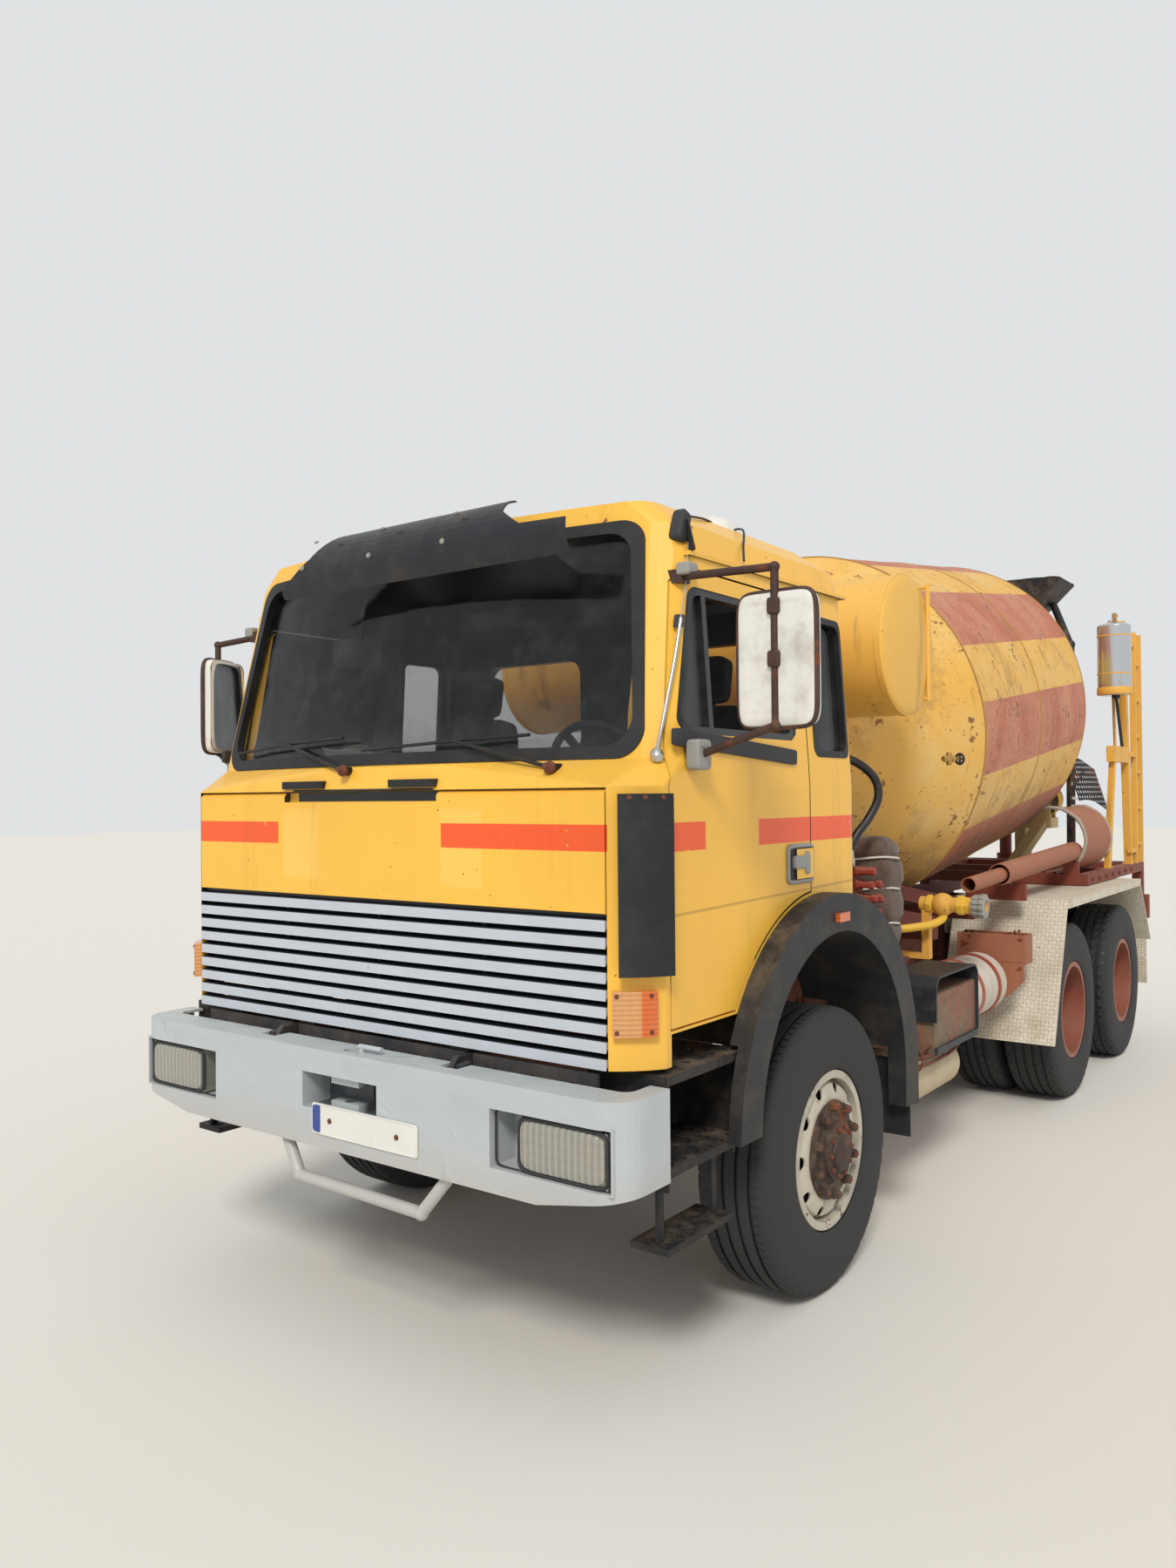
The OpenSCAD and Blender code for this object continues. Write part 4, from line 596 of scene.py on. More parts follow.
def bare_steel(name, colour, rust=0.5, metallic=0.6, rough=0.5, dust=0.3):
    """Steel or iron with brown oxide and road dust."""
    f = Finish(name)
    blot = f.noise(5.0, 7.0, 0.7)
    oxide = f.step(blot * 0.7 + f.noise(45.0) * 0.3, 0.66 - 0.3 * rust, 0.76 - 0.25 * rust)
    body = f.mix(oxide, colour, f.rust(22.0, 5.0))
    dusty = (f.patches(6.0, 0.4, 0.75) * dust).clamped()
    f.bump(blot * 0.5 + f.noise(120.0, 3.0) * 0.4, 0.0015)
    return f.done(Base_Color=f.mix(dusty, body, DUST), Metallic=(1 - oxide) * (1 - dusty) * metallic,
                  Roughness=(rough + oxide * 0.35 + dusty * 0.3).clamped())


def wheel_radius(f):
    """Distance from the nearest axle."""
    near = [f.band(f.x, x - 0.6, x + 0.6, 0.001) for x in REAR_AXLES]
    centre = near[0] * REAR_AXLES[0] + near[1] * REAR_AXLES[1] + (1 - near[0] - near[1]) * FRONT_AXLE
    return f.distance(f.x - centre, f.z - AXLE_Z)


def tyre_rubber():
    """Black rubber greyed by road dust, with moulded rings on the walls and dirt in the grooves."""
    f = Finish("tyre_rubber")
    r = wheel_radius(f)
    wall = f.step(r, 0.500, 0.49)
    rings = ((r * 210).sin() * 0.5 + 0.5) * f.band(r, 0.335, 0.35, 0.004).either(f.band(r, 0.47, 0.49, 0.004))
    dirt = f.patches(5.0, 0.35, 0.72, 7.0)
    deep = f.step(r, 0.533, 0.527) * (1 - wall)
    colour = f.mix(dirt * (0.22 + wall * 0.16), srgb(22, 25, 29), srgb(98, 92, 84))
    colour = f.mix(deep * 0.6, colour, srgb(92, 78, 64))
    cracks = f.step(f.cells(60.0, "DISTANCE_TO_EDGE"), 0.03, 0.0) * wall
    f.bump(rings * 0.8 + f.noise(140.0, 3.0) * 0.3 - cracks * 0.4, 0.002)
    return f.done(Base_Color=f.mix(cracks * 0.4, colour, srgb(26, 26, 27)),
                  Roughness=(0.72 + dirt * 0.2).clamped())


def rim_finish(name, face, hub_rust=0.8, well=0.0):
    """Rim paint that gives way to rust round the hub; the well behind a disc gets painted shade, the tyre is black.
    """
    f = Finish(name)
    r = wheel_radius(f)
    blot = f.noise(9.0, 7.0, 0.7)
    hub = f.step(r + blot * 0.07, 0.235, 0.20)
    scab = f.step(blot * 0.6 + f.noise(50.0) * 0.4, 0.58, 0.62)
    rusty = (hub * hub_rust + scab).clamped()
    paint = f.shade(face, 0.8 + 0.4 * f.noise(3.0, 5.0))
    grime = f.patches(4.0, 0.4, 0.7, 5.0) * 0.4
    colour = f.mix(rusty, f.mix(grime, paint, srgb(110, 94, 76)), f.rust(30.0, 6.0, 0.7, srgb(128, 70, 44)))
    # Inside the disc's barrel the rim gets painted shade, so the hand holes show dark.
    colour = f.mix(f.step(r, 0.266, 0.262) * well, colour, srgb(20, 18, 17))
    colour = f.mix(f.step(r, 0.2995, 0.3005), colour, srgb(24, 26, 29))
    f.bump(rusty * 0.4 + f.noise(80.0) * 0.5, 0.0015)
    return f.done(Base_Color=colour, Roughness=(0.5 + rusty * 0.35).clamped())


def tread_plate(name, colour):
    """Cream paint over raised lozenges: ellipses turned by 45 degrees either way, one to a square of a grid."""
    f = Finish(name)
    _, ny, nz = [abs(v) for v in f.facing()]
    a = f.mix(f.step(ny, 0.6, 0.61), f.join(f.y, 0.0, 0.0), f.join(f.x, 0.0, 0.0))
    b = f.mix(f.step(nz, 0.6, 0.61), f.join(f.z, 0.0, 0.0), f.join(f.x, 0.0, 0.0))
    per_metre = 22
    u, v = f.split(a)[0] * per_metre, f.split(b)[0] * per_metre
    raised, foot = [], []
    for shift, slope in ((0.0, 1.0), (0.5, -1.0)):
        p, q = (u + shift).fract() - 0.5, (v + shift).fract() - 0.5
        long, short = (p + q * slope) * 0.7071, (p - q * slope) * 0.7071
        shape = (long * long) / 0.115 + (short * short) / 0.010
        raised.append(f.step(shape, 1.1, 0.6))
        foot.append(f.step(shape, 2.6, 1.3))
    lozenges, feet = raised[0].either(raised[1]), foot[0].either(foot[1])
    worn = f.patches(5.0, 0.4, 0.7)
    body = f.shade(f.mix(worn * 0.5, colour, srgb(176, 164, 140)), 0.88 + 0.2 * f.noise(1.7))
    body = f.mix(lozenges * worn * 0.35, body, srgb(150, 138, 118))
    rusty = f.step(f.mottled(3.5, 6.0, 0.7, 30.0), 0.64, 0.67)
    body = f.mix(rusty, body, f.rust())
    body = f.mix(f.under(f.z, 0.45, 0.9) * worn * 0.5, body, DUST)
    # Round the foot of each lozenge a ring of painted shade mixed with grime.
    body = f.mix((feet - lozenges).clamped() * 0.40, body, srgb(128, 112, 88))
    # The raised lozenges get a painted highlight on their tops.
    body = f.mix(lozenges * 0.60, body, srgb(247, 240, 220))
    f.bump(lozenges, 0.007, 1.0)
    return f.done(Base_Color=body, Roughness=(0.55 + worn * 0.2 + rusty * 0.2).clamped())


def cab_glass():
    """Safety glass with specks and a film of dust that thickens low down."""
    f = Finish("cab_glass")
    specks = f.step(f.cells(70.0), 0.14, 0.06) * f.patches(9.0, 0.4, 0.6, 4.0, 0.55)
    film = f.patches(7.0, 0.4, 0.8, 7.0, 0.75) * 0.12 + specks * 0.3
    low = f.under(f.z, 2.0, 2.25) * 0.10
    f.material.surface_render_method = "BLENDED"
    return f.done(Base_Color=f.mix(film * 2.2 + low, srgb(14, 20, 26), srgb(120, 124, 120)),
                  Alpha=(film * 0.55 + low + 0.24).clamped(), Roughness=0.04 + film * 0.6, Coat_Weight=0.6)


def headlamp_lens():
    """Moulded lens with upright ribs in flat grey, with painted light and shade along the ribs."""
    f = Finish("headlamp_lens")
    rib = (f.y * 260.0).sin()
    dirt = f.patches(9.0, 0.45, 0.75)
    f.bump(rib * 0.6 + (f.z * 190.0).sin() * 0.15, 0.003, 0.9)
    # The colour rises and falls with the ribs: painted light and shade along them.
    return f.done(Base_Color=f.mix(dirt * 0.35, f.shade(srgb(158, 158, 148), 0.85 + 0.15 * rib), DUST),
                  Roughness=(0.12 + dirt * 0.35).clamped(), Coat_Weight=0.8)


def woven(name, colour, other, scale):
    """Coarse woven cloth: two crossed sets of threads over mottled dirt."""
    f = Finish(name)
    thread = ((f.x + f.y) * scale).sin() * ((f.z - f.x * 0.3) * scale).sin()
    soil = f.patches(6.0, 0.35, 0.7)
    f.bump(thread * 0.5 + f.noise(30.0, 5.0) * 0.7, 0.002)
    f.shader.inputs["Sheen Weight"].default_value = 0.25
    return f.done(Base_Color=f.shade(f.mix(soil, colour, other), 0.8 + 0.2 * thread + 0.2 * f.noise(12.0)),
                  Roughness=0.92)


def battery_finish():
    """Scuffed black cover round a rusty tray and its battery."""
    f = Finish("battery_cover")
    _, (front, left, _) = box("battery_box")
    left, front = float(left) - SIDE, float(front)
    inner = (f.under(f.y, left - 0.018, left - 0.014) * f.under(f.x, front - 0.012, front - 0.006)
             * f.under(f.z, 0.962, 0.966))
    scuffs = f.patches(3.0, 0.5, 0.7, 7.0, 0.75, (1.0, 1.0, 2.0))
    cover = f.mix(scuffs * 0.55, srgb(36, 40, 46), srgb(98, 100, 98))
    tray = f.mix(f.patches(5.0, 0.4, 0.6), srgb(118, 54, 44), srgb(92, 78, 60))
    f.bump(f.noise(90.0) * 0.5 + scuffs * 0.2, 0.002)
    return f.done(Base_Color=f.mix(inner, cover, f.mix(f.noise(30.0) * 0.5, tray, DUST)),
                  Roughness=(0.48 + scuffs * 0.2 + inner * 0.25).clamped())


def amber_finish():
    """Amber lens with ribs, its front part faded to a greyish tone."""
    f = Finish("amber_lens")
    front = f.step(f.x, FRONT_AXLE + 1.215, FRONT_AXLE + 1.222)
    rib = (f.z * 420).sin()
    dirt = f.patches(9.0, 0.5, 0.8)
    f.bump(rib * 0.5 + (f.y * 300).sin() * front * 0.6, 0.002, 0.8)
    body = f.mix(front, srgb(222, 104, 30), srgb(222, 158, 96))
    # The colour rises and falls with the ribs: painted light and shade along them.
    return f.done(Base_Color=f.mix(dirt * 0.3, f.shade(body, 0.9 + rib * 0.1), DUST),
                  Roughness=(0.14 + dirt * 0.3).clamped(), Coat_Weight=0.7)


def brushed_grey(name, colour, rust=0.15):
    """Finish, colour, relief and roughness of brushed grey paint: strokes along Y, dents, scuffs and runs of rust."""
    f = Finish(name)
    strokes = f.noise(30.0, 3.0, 0.6, (6.0, 0.4, 6.0))
    rusty = f.step(f.mottled(4.5, 7.0, 0.75, 40.0), 0.70 - 0.12 * rust, 0.73 - 0.12 * rust)
    body = f.shade(colour, 0.9 + 0.12 * strokes + 0.12 * f.noise(2.0, 5.0))
    scuffs = f.patches(14.0, 0.66, 0.74, 6.0, 0.8, (1.0, 0.4, 2.4))
    body = f.mix(scuffs * 0.5, body, srgb(98, 92, 86))
    body = f.mix(rusty, body, f.rust())
    body = f.mix(f.under(f.z, 0.62, 0.85) * 0.3, body, DUST)
    relief = f.noise(3.6, 2.0, 0.4) * 2.4 + strokes * 0.05 + rusty * 0.1
    return f, body, relief, (0.42 + rusty * 0.4 + scuffs * 0.2).clamped()


def grille_finish():
    """Brushed grey slats with painted shade in the gaps, told by their place in the pitch."""
    f, body, relief, rough = brushed_grey("grille_paint", chosen_colour("grille_grey"), 0.5)
    low, high = box("grille")
    pitch = float(high[2] - low[2]) / 9
    # Painted shade in the lower part of each pitch, where the slats shade the gaps, and on all behind the slats'
    # front edge.
    gap = f.step(((f.z - float(low[2])) / pitch).fract(), 0.625, 0.66)
    gap = gap.either(f.under(f.x, float(high[0]) - 0.014, float(high[0]) - 0.010))
    f.bump(relief, 0.014, 0.7)
    return f.done(Base_Color=f.mix(gap, body, srgb(20, 24, 32)), Roughness=rough)


def bumper_finish():
    """Brushed grey with creases where a noise crosses its middle, and painted shade in the recess for the towing jaw.
    """
    f, body, relief, rough = brushed_grey("bumper_paint", chosen_colour("bumper_grey"))
    crease = f.step(abs(f.noise(3.4, 3.0, 0.55) - 0.5), 0.045, 0.0) * f.patches(1.9, 0.50, 0.60, 4.0, 0.55)
    # Painted shade fills the recess for the towing jaw.
    recess = f.band(f.x - FRONT_AXLE, 1.290, 1.372, 0.02) * f.band(f.y, -0.188, 0.188) * f.band(f.z, 0.800, 0.940)
    f.bump(relief + crease * 0.35, 0.014, 0.7)
    return f.done(Base_Color=f.mix(recess * 0.85, body, srgb(24, 30, 38)), Roughness=rough)


def banded_cylinder():
    """White cylinder with three red bands, dusty."""
    f = Finish("banded_cylinder")
    low, high = box("air_cylinder")
    share = (f.x - float(low[0])) / float(high[0] - low[0])
    band = f.band(share, 0.17, 0.22).either(f.band(share, 0.46, 0.51), f.band(share, 0.76, 0.81))
    colour = f.mix(band, srgb(206, 200, 188), srgb(150, 52, 40))
    return weathered(f, colour, 0.5, rust=0.3, dust=0.55, streaks=0.4, low=1.0)


def polished_can():
    """Polished steel vessel with water stains and fine rings."""
    f = Finish("polished_steel")
    stain = f.patches(7.0, 0.5, 0.72, 6.0, 0.7, (1.0, 1.0, 0.35))
    f.bump(f.noise(60.0, 3.0, 0.5, (1.0, 1.0, 9.0)), 0.0006, 0.4)
    return f.done(Base_Color=f.mix(stain * 0.6, srgb(205, 207, 208), srgb(120, 108, 96)),
                  Metallic=0.95 - stain * 0.4, Roughness=0.2 + stain * 0.35)


def door_glass():
    """Dusty black rubber and glass of the doors' quarter lights."""
    f = Finish("door_glass")
    film = f.patches(4.0, 0.3, 0.75, 7.0)
    return f.done(Base_Color=f.mix(film * 0.3, srgb(20, 22, 24), srgb(90, 92, 90)), Roughness=0.25 + film * 0.2)


def hose_rubber():
    """Black rubber hose with a faint cloth print and dust."""
    f = Finish("hose_rubber")
    dusty = f.patches(9.0, 0.42, 0.75)
    f.bump(f.noise(300.0, 2.0), 0.0006)
    return f.done(Base_Color=f.mix(dusty * 0.3, srgb(24, 25, 28), srgb(96, 88, 78)),
                  Roughness=(0.4 + dusty * 0.3).clamped())


def mirror_white():
    """White plastic with grey stains."""
    f = Finish("mirror_white")
    stain = f.patches(5.0, 0.45, 0.72)
    f.bump(f.noise(60.0), 0.001)
    return f.done(Base_Color=f.mix(stain * 0.55, srgb(224, 222, 214), srgb(150, 142, 128)), Roughness=0.38)


def mirror_glass():
    """Silvered glass, dull in patches."""
    f = Finish("mirror_glass")
    return f.done(Base_Color=(0.75, 0.77, 0.78), Metallic=1.0,
                  Roughness=0.03 + f.patches(8.0, 0.5, 0.8, 5.0, 0.55) * 0.2)


def perforated():
    """Black sheet with rows of round holes: clear where the squared distance from a grid square's middle is small."""
    f = Finish("perforated_sheet")
    a, b = (f.x * 26).fract() - 0.5, (f.z * 26).fract() - 0.5
    worn = f.patches(6.0, 0.5, 0.7)
    return f.done(Base_Color=f.mix(worn * 0.6, srgb(28, 28, 30), RUST_LIGHT),
                  Roughness=(0.55 + worn * 0.3).clamped(), Alpha=f.step(a * a + b * b, 0.085, 0.10))


def dress_nodes():
    """Gives every CAD node its finish."""
    primer = srgb(106, 50, 40)
    f = Finish("chassis_primer")
    # The frame's nose, inside the bumper's recess, gets painted shade as dark as the recess.
    nose_shade = f.step(f.x, FRONT_AXLE + 1.15, FRONT_AXLE + 1.17)
    rust_red = weathered(f, f.mix(nose_shade, primer, srgb(34, 41, 50)), 0.62, rust=0.45, dust=0.5, streaks=0.5, low=1.0)
    f = Finish("drum_frame_paint")
    rear = f.under(f.x, FRONT_AXLE - 4.50, FRONT_AXLE - 4.46) * f.step(f.z, 1.262, 1.27)
    frame_red = weathered(f, f.mix(rear, primer, srgb(214, 192, 142)), 0.62, rust=0.5, dust=0.4, streaks=0.6, low=1.0)
    looks = {
        "chassis_frame valve_block chute_bracket": rust_red,
        "drum_frame": frame_red,
        "axles leaf_springs driveline knuckle_left knuckle_right":
            bare_steel("axle_steel", srgb(58, 50, 45), 0.6, 0.3, 0.6, 0.5),
        "engine_block": bare_steel("engine_iron", srgb(74, 76, 74), 0.35, 0.4, 0.5, 0.45),
        "drum_gearbox": bare_steel("gearbox_iron", srgb(120, 92, 60), 0.5, 0.3, 0.55, 0.4),
        "hopper": bare_steel("hopper_black", srgb(26, 26, 30), 0.35, 0.2, 0.6, 0.25),
        "mirror_left mirror_right": bare_steel("mirror_tube", srgb(66, 44, 38), 0.42, 0.2, 0.6, 0.1),
        "roller_left roller_right": bare_steel("roller_steel", srgb(130, 128, 124), 0.3, 0.8, 0.35, 0.2),
        "side_tanks": plain("cream_tank", srgb(206, 192, 160), rough=0.55, rust=0.45, dust=0.6, streaks=0.5),
        "water_tank": plain("tank_yellow", srgb(232, 182, 84), rough=0.48, dust=0.2, streaks=0.8, chips=0.5, low=0.3),
        "rear_platform": plain("platform_red", srgb(126, 60, 44), rough=0.58, rust=0.6, dust=0.5, streaks=0.6,
                               low=0.8),
        "ladder water_valve": plain("mixer_yellow", srgb(226, 172, 76), rough=0.5, rust=0.6, dust=0.3, streaks=0.7,
                                    chips=0.8, low=0.3),
        "stowed_pipes chute": plain("terracotta_primer", srgb(160, 100, 74), rough=0.6, rust=0.7, dust=0.5,
                                    streaks=0.5, low=0.5),
        "cab_shell front_panel door_left door_right": cab_yellow(),
        "cab_glass": cab_glass(),
        "door_glass_left door_glass_right": door_glass(),
        "drum": drum_finish(),
        "mudguards": tread_plate("tread_plate", chosen_colour("guard_cream")),
        "grille": grille_finish(),
        "bumper": bumper_finish(),
        "lamps": headlamp_lens(),
        "corner_lamps": amber_finish(),
        "battery_box": battery_finish(),
        "air_cylinder": banded_cylinder(),
        "canister": polished_can(),
        "hydraulic_hoses cloth_bundle seats": black_plastic("black_plastic", srgb(20, 22, 26)),
        "cab_steps": black_plastic("step_black", srgb(18, 18, 20), 0.6, 0.4),
        "windscreen_seal": black_plastic("seal_rubber", srgb(13, 14, 17), 0.5, 0.12),
        "sun_visor": black_plastic("visor_black", srgb(16, 19, 25), 0.35, 0.2),
        "dashboard": black_plastic("dash_plastic", srgb(26, 27, 30), 0.6, 0.4),
        "wheel_arches": black_plastic("arch_plastic", srgb(30, 32, 34), 0.5, 0.3),
        "corner_vanes": black_plastic("vane_plastic", srgb(12, 14, 20), 0.42, 0.12),
    }
    by_node = {name: finish for names, finish in looks.items() for name in names.split()}
    front = rim_finish("front_rim_cream", srgb(190, 184, 168), well=1.0)
    rear = rim_finish("rear_rim_terracotta", srgb(146, 84, 66), 0.6)
    for name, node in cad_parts.items():
        finish = by_node.get(name) or (front if name.startswith("wheel_front") else rear)
        node.data.materials.clear()
        node.data.materials.append(finish)


def small_finishes():
    """Finishes that only the small pieces carry."""
    plain("rusty_bolt", srgb(104, 58, 40), rough=0.7, rust=0.7, dust=0.2, chips=0.0, low=0.2, grain=0.0004)
    plain("casting_grey", srgb(150, 150, 144), rough=0.55, rust=0.25, dust=0.3, streaks=0.2, low=0.2)
    plain("blank_plate", srgb(226, 226, 220), rough=0.35, rust=0.0, streaks=0.2, chips=0.0, low=0.7)
    plain("blue_band", srgb(38, 70, 150), rough=0.35, rust=0.0, streaks=0.0, chips=0.0, low=0.7)
    plain("sheet_paper", srgb(224, 222, 212), rough=0.85, rust=0.0, dust=0.3, streaks=0.0, chips=0.0, low=0.2)
    plain("dome_white", srgb(226, 224, 216), rough=0.4, rust=0.0, dust=0.3, chips=0.0, low=0.2)
    plain("fitting_red", srgb(146, 56, 44), rough=0.55, rust=0.35, low=0.2)
    plain("valve_yellow", srgb(230, 184, 62), rough=0.5, dust=0.25, streaks=0.4, low=0.2)
    plain("bead_yellow", srgb(176, 134, 72), rough=0.65, rust=0.5, dust=0.3, streaks=0.4, low=0.2)
    plain("cement_crust", srgb(168, 160, 146), rough=0.95, rust=0.12, dust=0.3, streaks=0.4, chips=0.0, low=0.2,
          grain=0.003)
    bare_steel("chrome_rod", srgb(196, 196, 192), 0.2, 0.9, 0.25, 0.15)
    bare_steel("brass", srgb(186, 150, 84), 0.25, 0.8, 0.35, 0.2)
    bare_steel("scrap_steel", srgb(112, 84, 66), 0.8, 0.2, 0.7, 0.2)


# ---- pieces


def build_tyre(name, body, outer, side, drive):
    """Tyre section turned about the axle; grooves run round it and, on driven wheels, across it in zigzags."""
    x = float(middle(body)[0])
    half, crown_r, bulge = 0.1035, 0.540, 0.0012
    # Radius and half width of the side wall, from the bead to the shoulder.
    wall = [(0.304, 0.143), (0.313, 0.147), (0.33, 0.1495), (0.345, 0.152), (0.36, 0.1535), (0.40, 0.1545),
            (0.44, 0.1535), (0.47, 0.151), (0.49, 0.1485), (0.508, 0.1455), (0.520, 0.139), (0.531, 0.130),
            (0.5375, 0.118)]
    # Places across the tread; each groove has two edges at full height and two at its floor.
    ribs = [(g + d, floor) for g in (0.078, 0.026, -0.026, -0.078)
            for d, floor in ((0.0085, 0), (0.0050, 1), (-0.0050, 1), (-0.0085, 0))]
    ribs += [(v * s, 0) for v in (half, 0.091, 0.065, 0.052, 0.039, 0.013) for s in (1, -1)] + [(0.0, 0)]
    ribs.sort(key=lambda q: -q[0])
    crown = [(crown_r + bulge * (1 - (v / half) ** 2) - chosen_size("groove_depth") * floor, v) for v, floor in ribs]
    profile = np.array(wall + crown + [(r, -v) for r, v in wall[::-1]])
    n = 384
    a = np.arange(n)[None, :] / n * TAU
    level, v = profile[:, 0][:, None], profile[:, 1][:, None]
    if drive:
        blocks, skew, share, inner, depth = 48, 7.0, 0.25, 0.03, 0.0085
    else:
        blocks, skew, share, inner, depth = 96, 2.0, 0.14, 0.085, 0.004
    phase = (a * blocks / TAU + v * skew * np.sign(np.sin(v * 60))) % 1
    cut = (phase < share) & (np.abs(v) < 0.119) & (np.abs(v) > inner) & (level > 0.532)
    shoulder = (np.abs(v) > 0.128) & (level > 0.505) & (level < 0.536)
    r = np.repeat(level, n, 1) - cut * depth - shoulder * ((a * 48 / TAU) % 1 < 0.25) * 0.005
    across = np.broadcast_to(SIDE + outer + v * side, r.shape)
    p = np.stack([x + r * np.sin(a), across, AXLE_Z + r * np.cos(a)], -1)
    Shell().grid(p, wrap_v=True).piece(name, look("tyre_rubber"), body, "tyre_rubber", 0.7)


def build_tyres():
    """Front tyres, and twin tyres on the rear axles."""
    tyre_rubber()
    for tag, side in SIDES:
        build_tyre(f"tyre_front_{tag}", f"wheel_front_{tag}", side * FRONT_TRACK, side, False)
        for k in (1, 2):
            body = f"wheels_rear_{k}_{tag}"
            build_tyre(f"tyre_rear_{k}_{tag}_outer", body, side * REAR_TRACK, side, True)
            build_tyre(f"tyre_rear_{k}_{tag}_inner", body, side * (REAR_TRACK - TWIN_PITCH), side, True)


def build_seats():
    """Crowned cushions: rounded blocks whose faces swell between their edges, with two bell-shaped grooves."""
    cloth = woven("seat_cloth", srgb(50, 54, 62), srgb(74, 70, 66), 1400.0)
    lean, tilt = turned_by(-10, "Y"), turned_by(-4, "Y")

    def swollen(p, axis, relief, depth):
        """Both faces across an axis moved out by relief and in at the grooves."""
        groove = np.exp(-((np.abs(p[..., 1]) - 0.13) / 0.008) ** 2) * depth
        q = p.copy()
        q[..., axis] += np.sign(p[..., axis]) * (relief - groove)
        return q

    def cushion_face(p):
        return swollen(p, 2, 0.012 * (1 - (2 * p[..., 1] / 0.48) ** 2), 0.012)

    def back_face(p):
        return swollen(p, 0, 0.004 * np.cos(p[..., 2] * 40), 0.010)

    base = Shell()
    rows = (("driver", 620), ("passenger", -620))
    for tag, y in rows:
        base.pillow(at(355, y, 1378), (0.40, 0.28, 0.35), (0.12, 0.12))
        parts = {
            "cushion": Shell().pillow(at(340, y, 1628), (0.52, 0.47, 0.115), (0.3, 0.28), tilt, 40, 96, cushion_face),
            "back": Shell().pillow(at(52, y, 1985), (0.115, 0.45, 0.56), (0.25, 0.3), lean, 40, 96, back_face),
            "head_rest": Shell().pillow(at(4, y, 2375), (0.085, 0.25, 0.19), (0.3, 0.3), lean, 24, 64),
        }
        for part, shell in parts.items():
            made = shell.piece(f"seat_{tag}_{part}", cloth, "cab", "seat_cloth")
    for _, y in rows:
        for dy in (-60, 60):
            base.tube([at(22, y + dy, 2230), at(8, y + dy, 2320)], 0.007, 10)
    made = base.piece("seat_bases", black_plastic("seat_base", srgb(38, 38, 40), 0.6, 0.5), "cab", "seat_cloth")
    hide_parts("seats")


# In millimetres, from the ports of the valve block to the drum drive.
HOSE_ROUTES = [
    [[-970, 830, 1562], [-970, 830, 1620], [-1000, 850, 1700], [-1070, 890, 1790], [-1110, 920, 1890],
     [-1090, 900, 1990], [-1010, 810, 2070], [-930, 620, 2100], [-920, 400, 2100], [-960, 220, 2092],
     [-1030, 110.3, 2092]],
    [[-970, 750, 1562], [-970, 750, 1620], [-985, 760, 1700], [-1030, 780, 1790], [-1050, 790, 1880],
     [-1020, 750, 1960], [-940, 640, 2020], [-890, 470, 2040], [-900, 260, 2050], [-960, 150, 2060],
     [-1030, 110.3, 2050]],
]


def build_hoses():
    """Two hydraulic hoses: circles carried along smooth routes."""
    rubber = hose_rubber()
    across = chosen_size("hose_across")
    for k, route in enumerate(HOSE_ROUTES):
        path = smooth_path([at(*p) for p in route], 6)
        made = Shell().tube(path, across / 2, 20).piece(f"hydraulic_hose_{k + 1}", rubber, "chassis", "hose_rubber")
        if k == 0:
            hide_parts("hydraulic_hoses")


def build_bundle():
    """Tied cloth bundle: a tall rounded block pinched in bell curves by its ropes, with folds by layered waves."""
    cloth = woven("sacking", srgb(104, 84, 72), srgb(66, 50, 44), 500.0)
    low, high = box("cloth_bundle")
    centre, extent = (low + high) / 2, high - low
    ties = (-0.13, 0.04, 0.19)

    def folds(p):
        pinch = 1 - sum(0.13 * np.exp(-((p[..., 2] - t) / 0.022) ** 2) for t in ties)
        swell = 0.90 + 0.07 * waves(p * [1, 1, 0.5], 16.0, 3) + 0.02 * waves(p, 60.0, 5)
        q = p.copy()
        q[..., :2] *= (pinch * swell)[..., None]
        return q

    wrap = Shell().pillow(centre, extent * [1.02, 1.02, 0.99], (0.55, 0.7), None, 90, 120, folds)
    made = wrap.piece("cloth_bundle_wrap", cloth, "chassis", "sacking", 1.2)
    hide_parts("cloth_bundle")
    a = np.arange(96) / 96 * TAU
    ropes = Shell()
    for t in ties:
        ring = np.stack([np.cos(a) * extent[0] * 0.43, np.sin(a) * extent[1] * 0.43, t + 0.008 * np.sin(a * 2)], -1)
        ropes.tube(centre + ring, 0.0055, 8, closed=True)
    white = plain("white_rope", srgb(214, 208, 196), rust=0.0, dust=0.3, chips=0.0, streaks=0.0)
    ropes.piece("bundle_ropes", white, "chassis", "sacking")


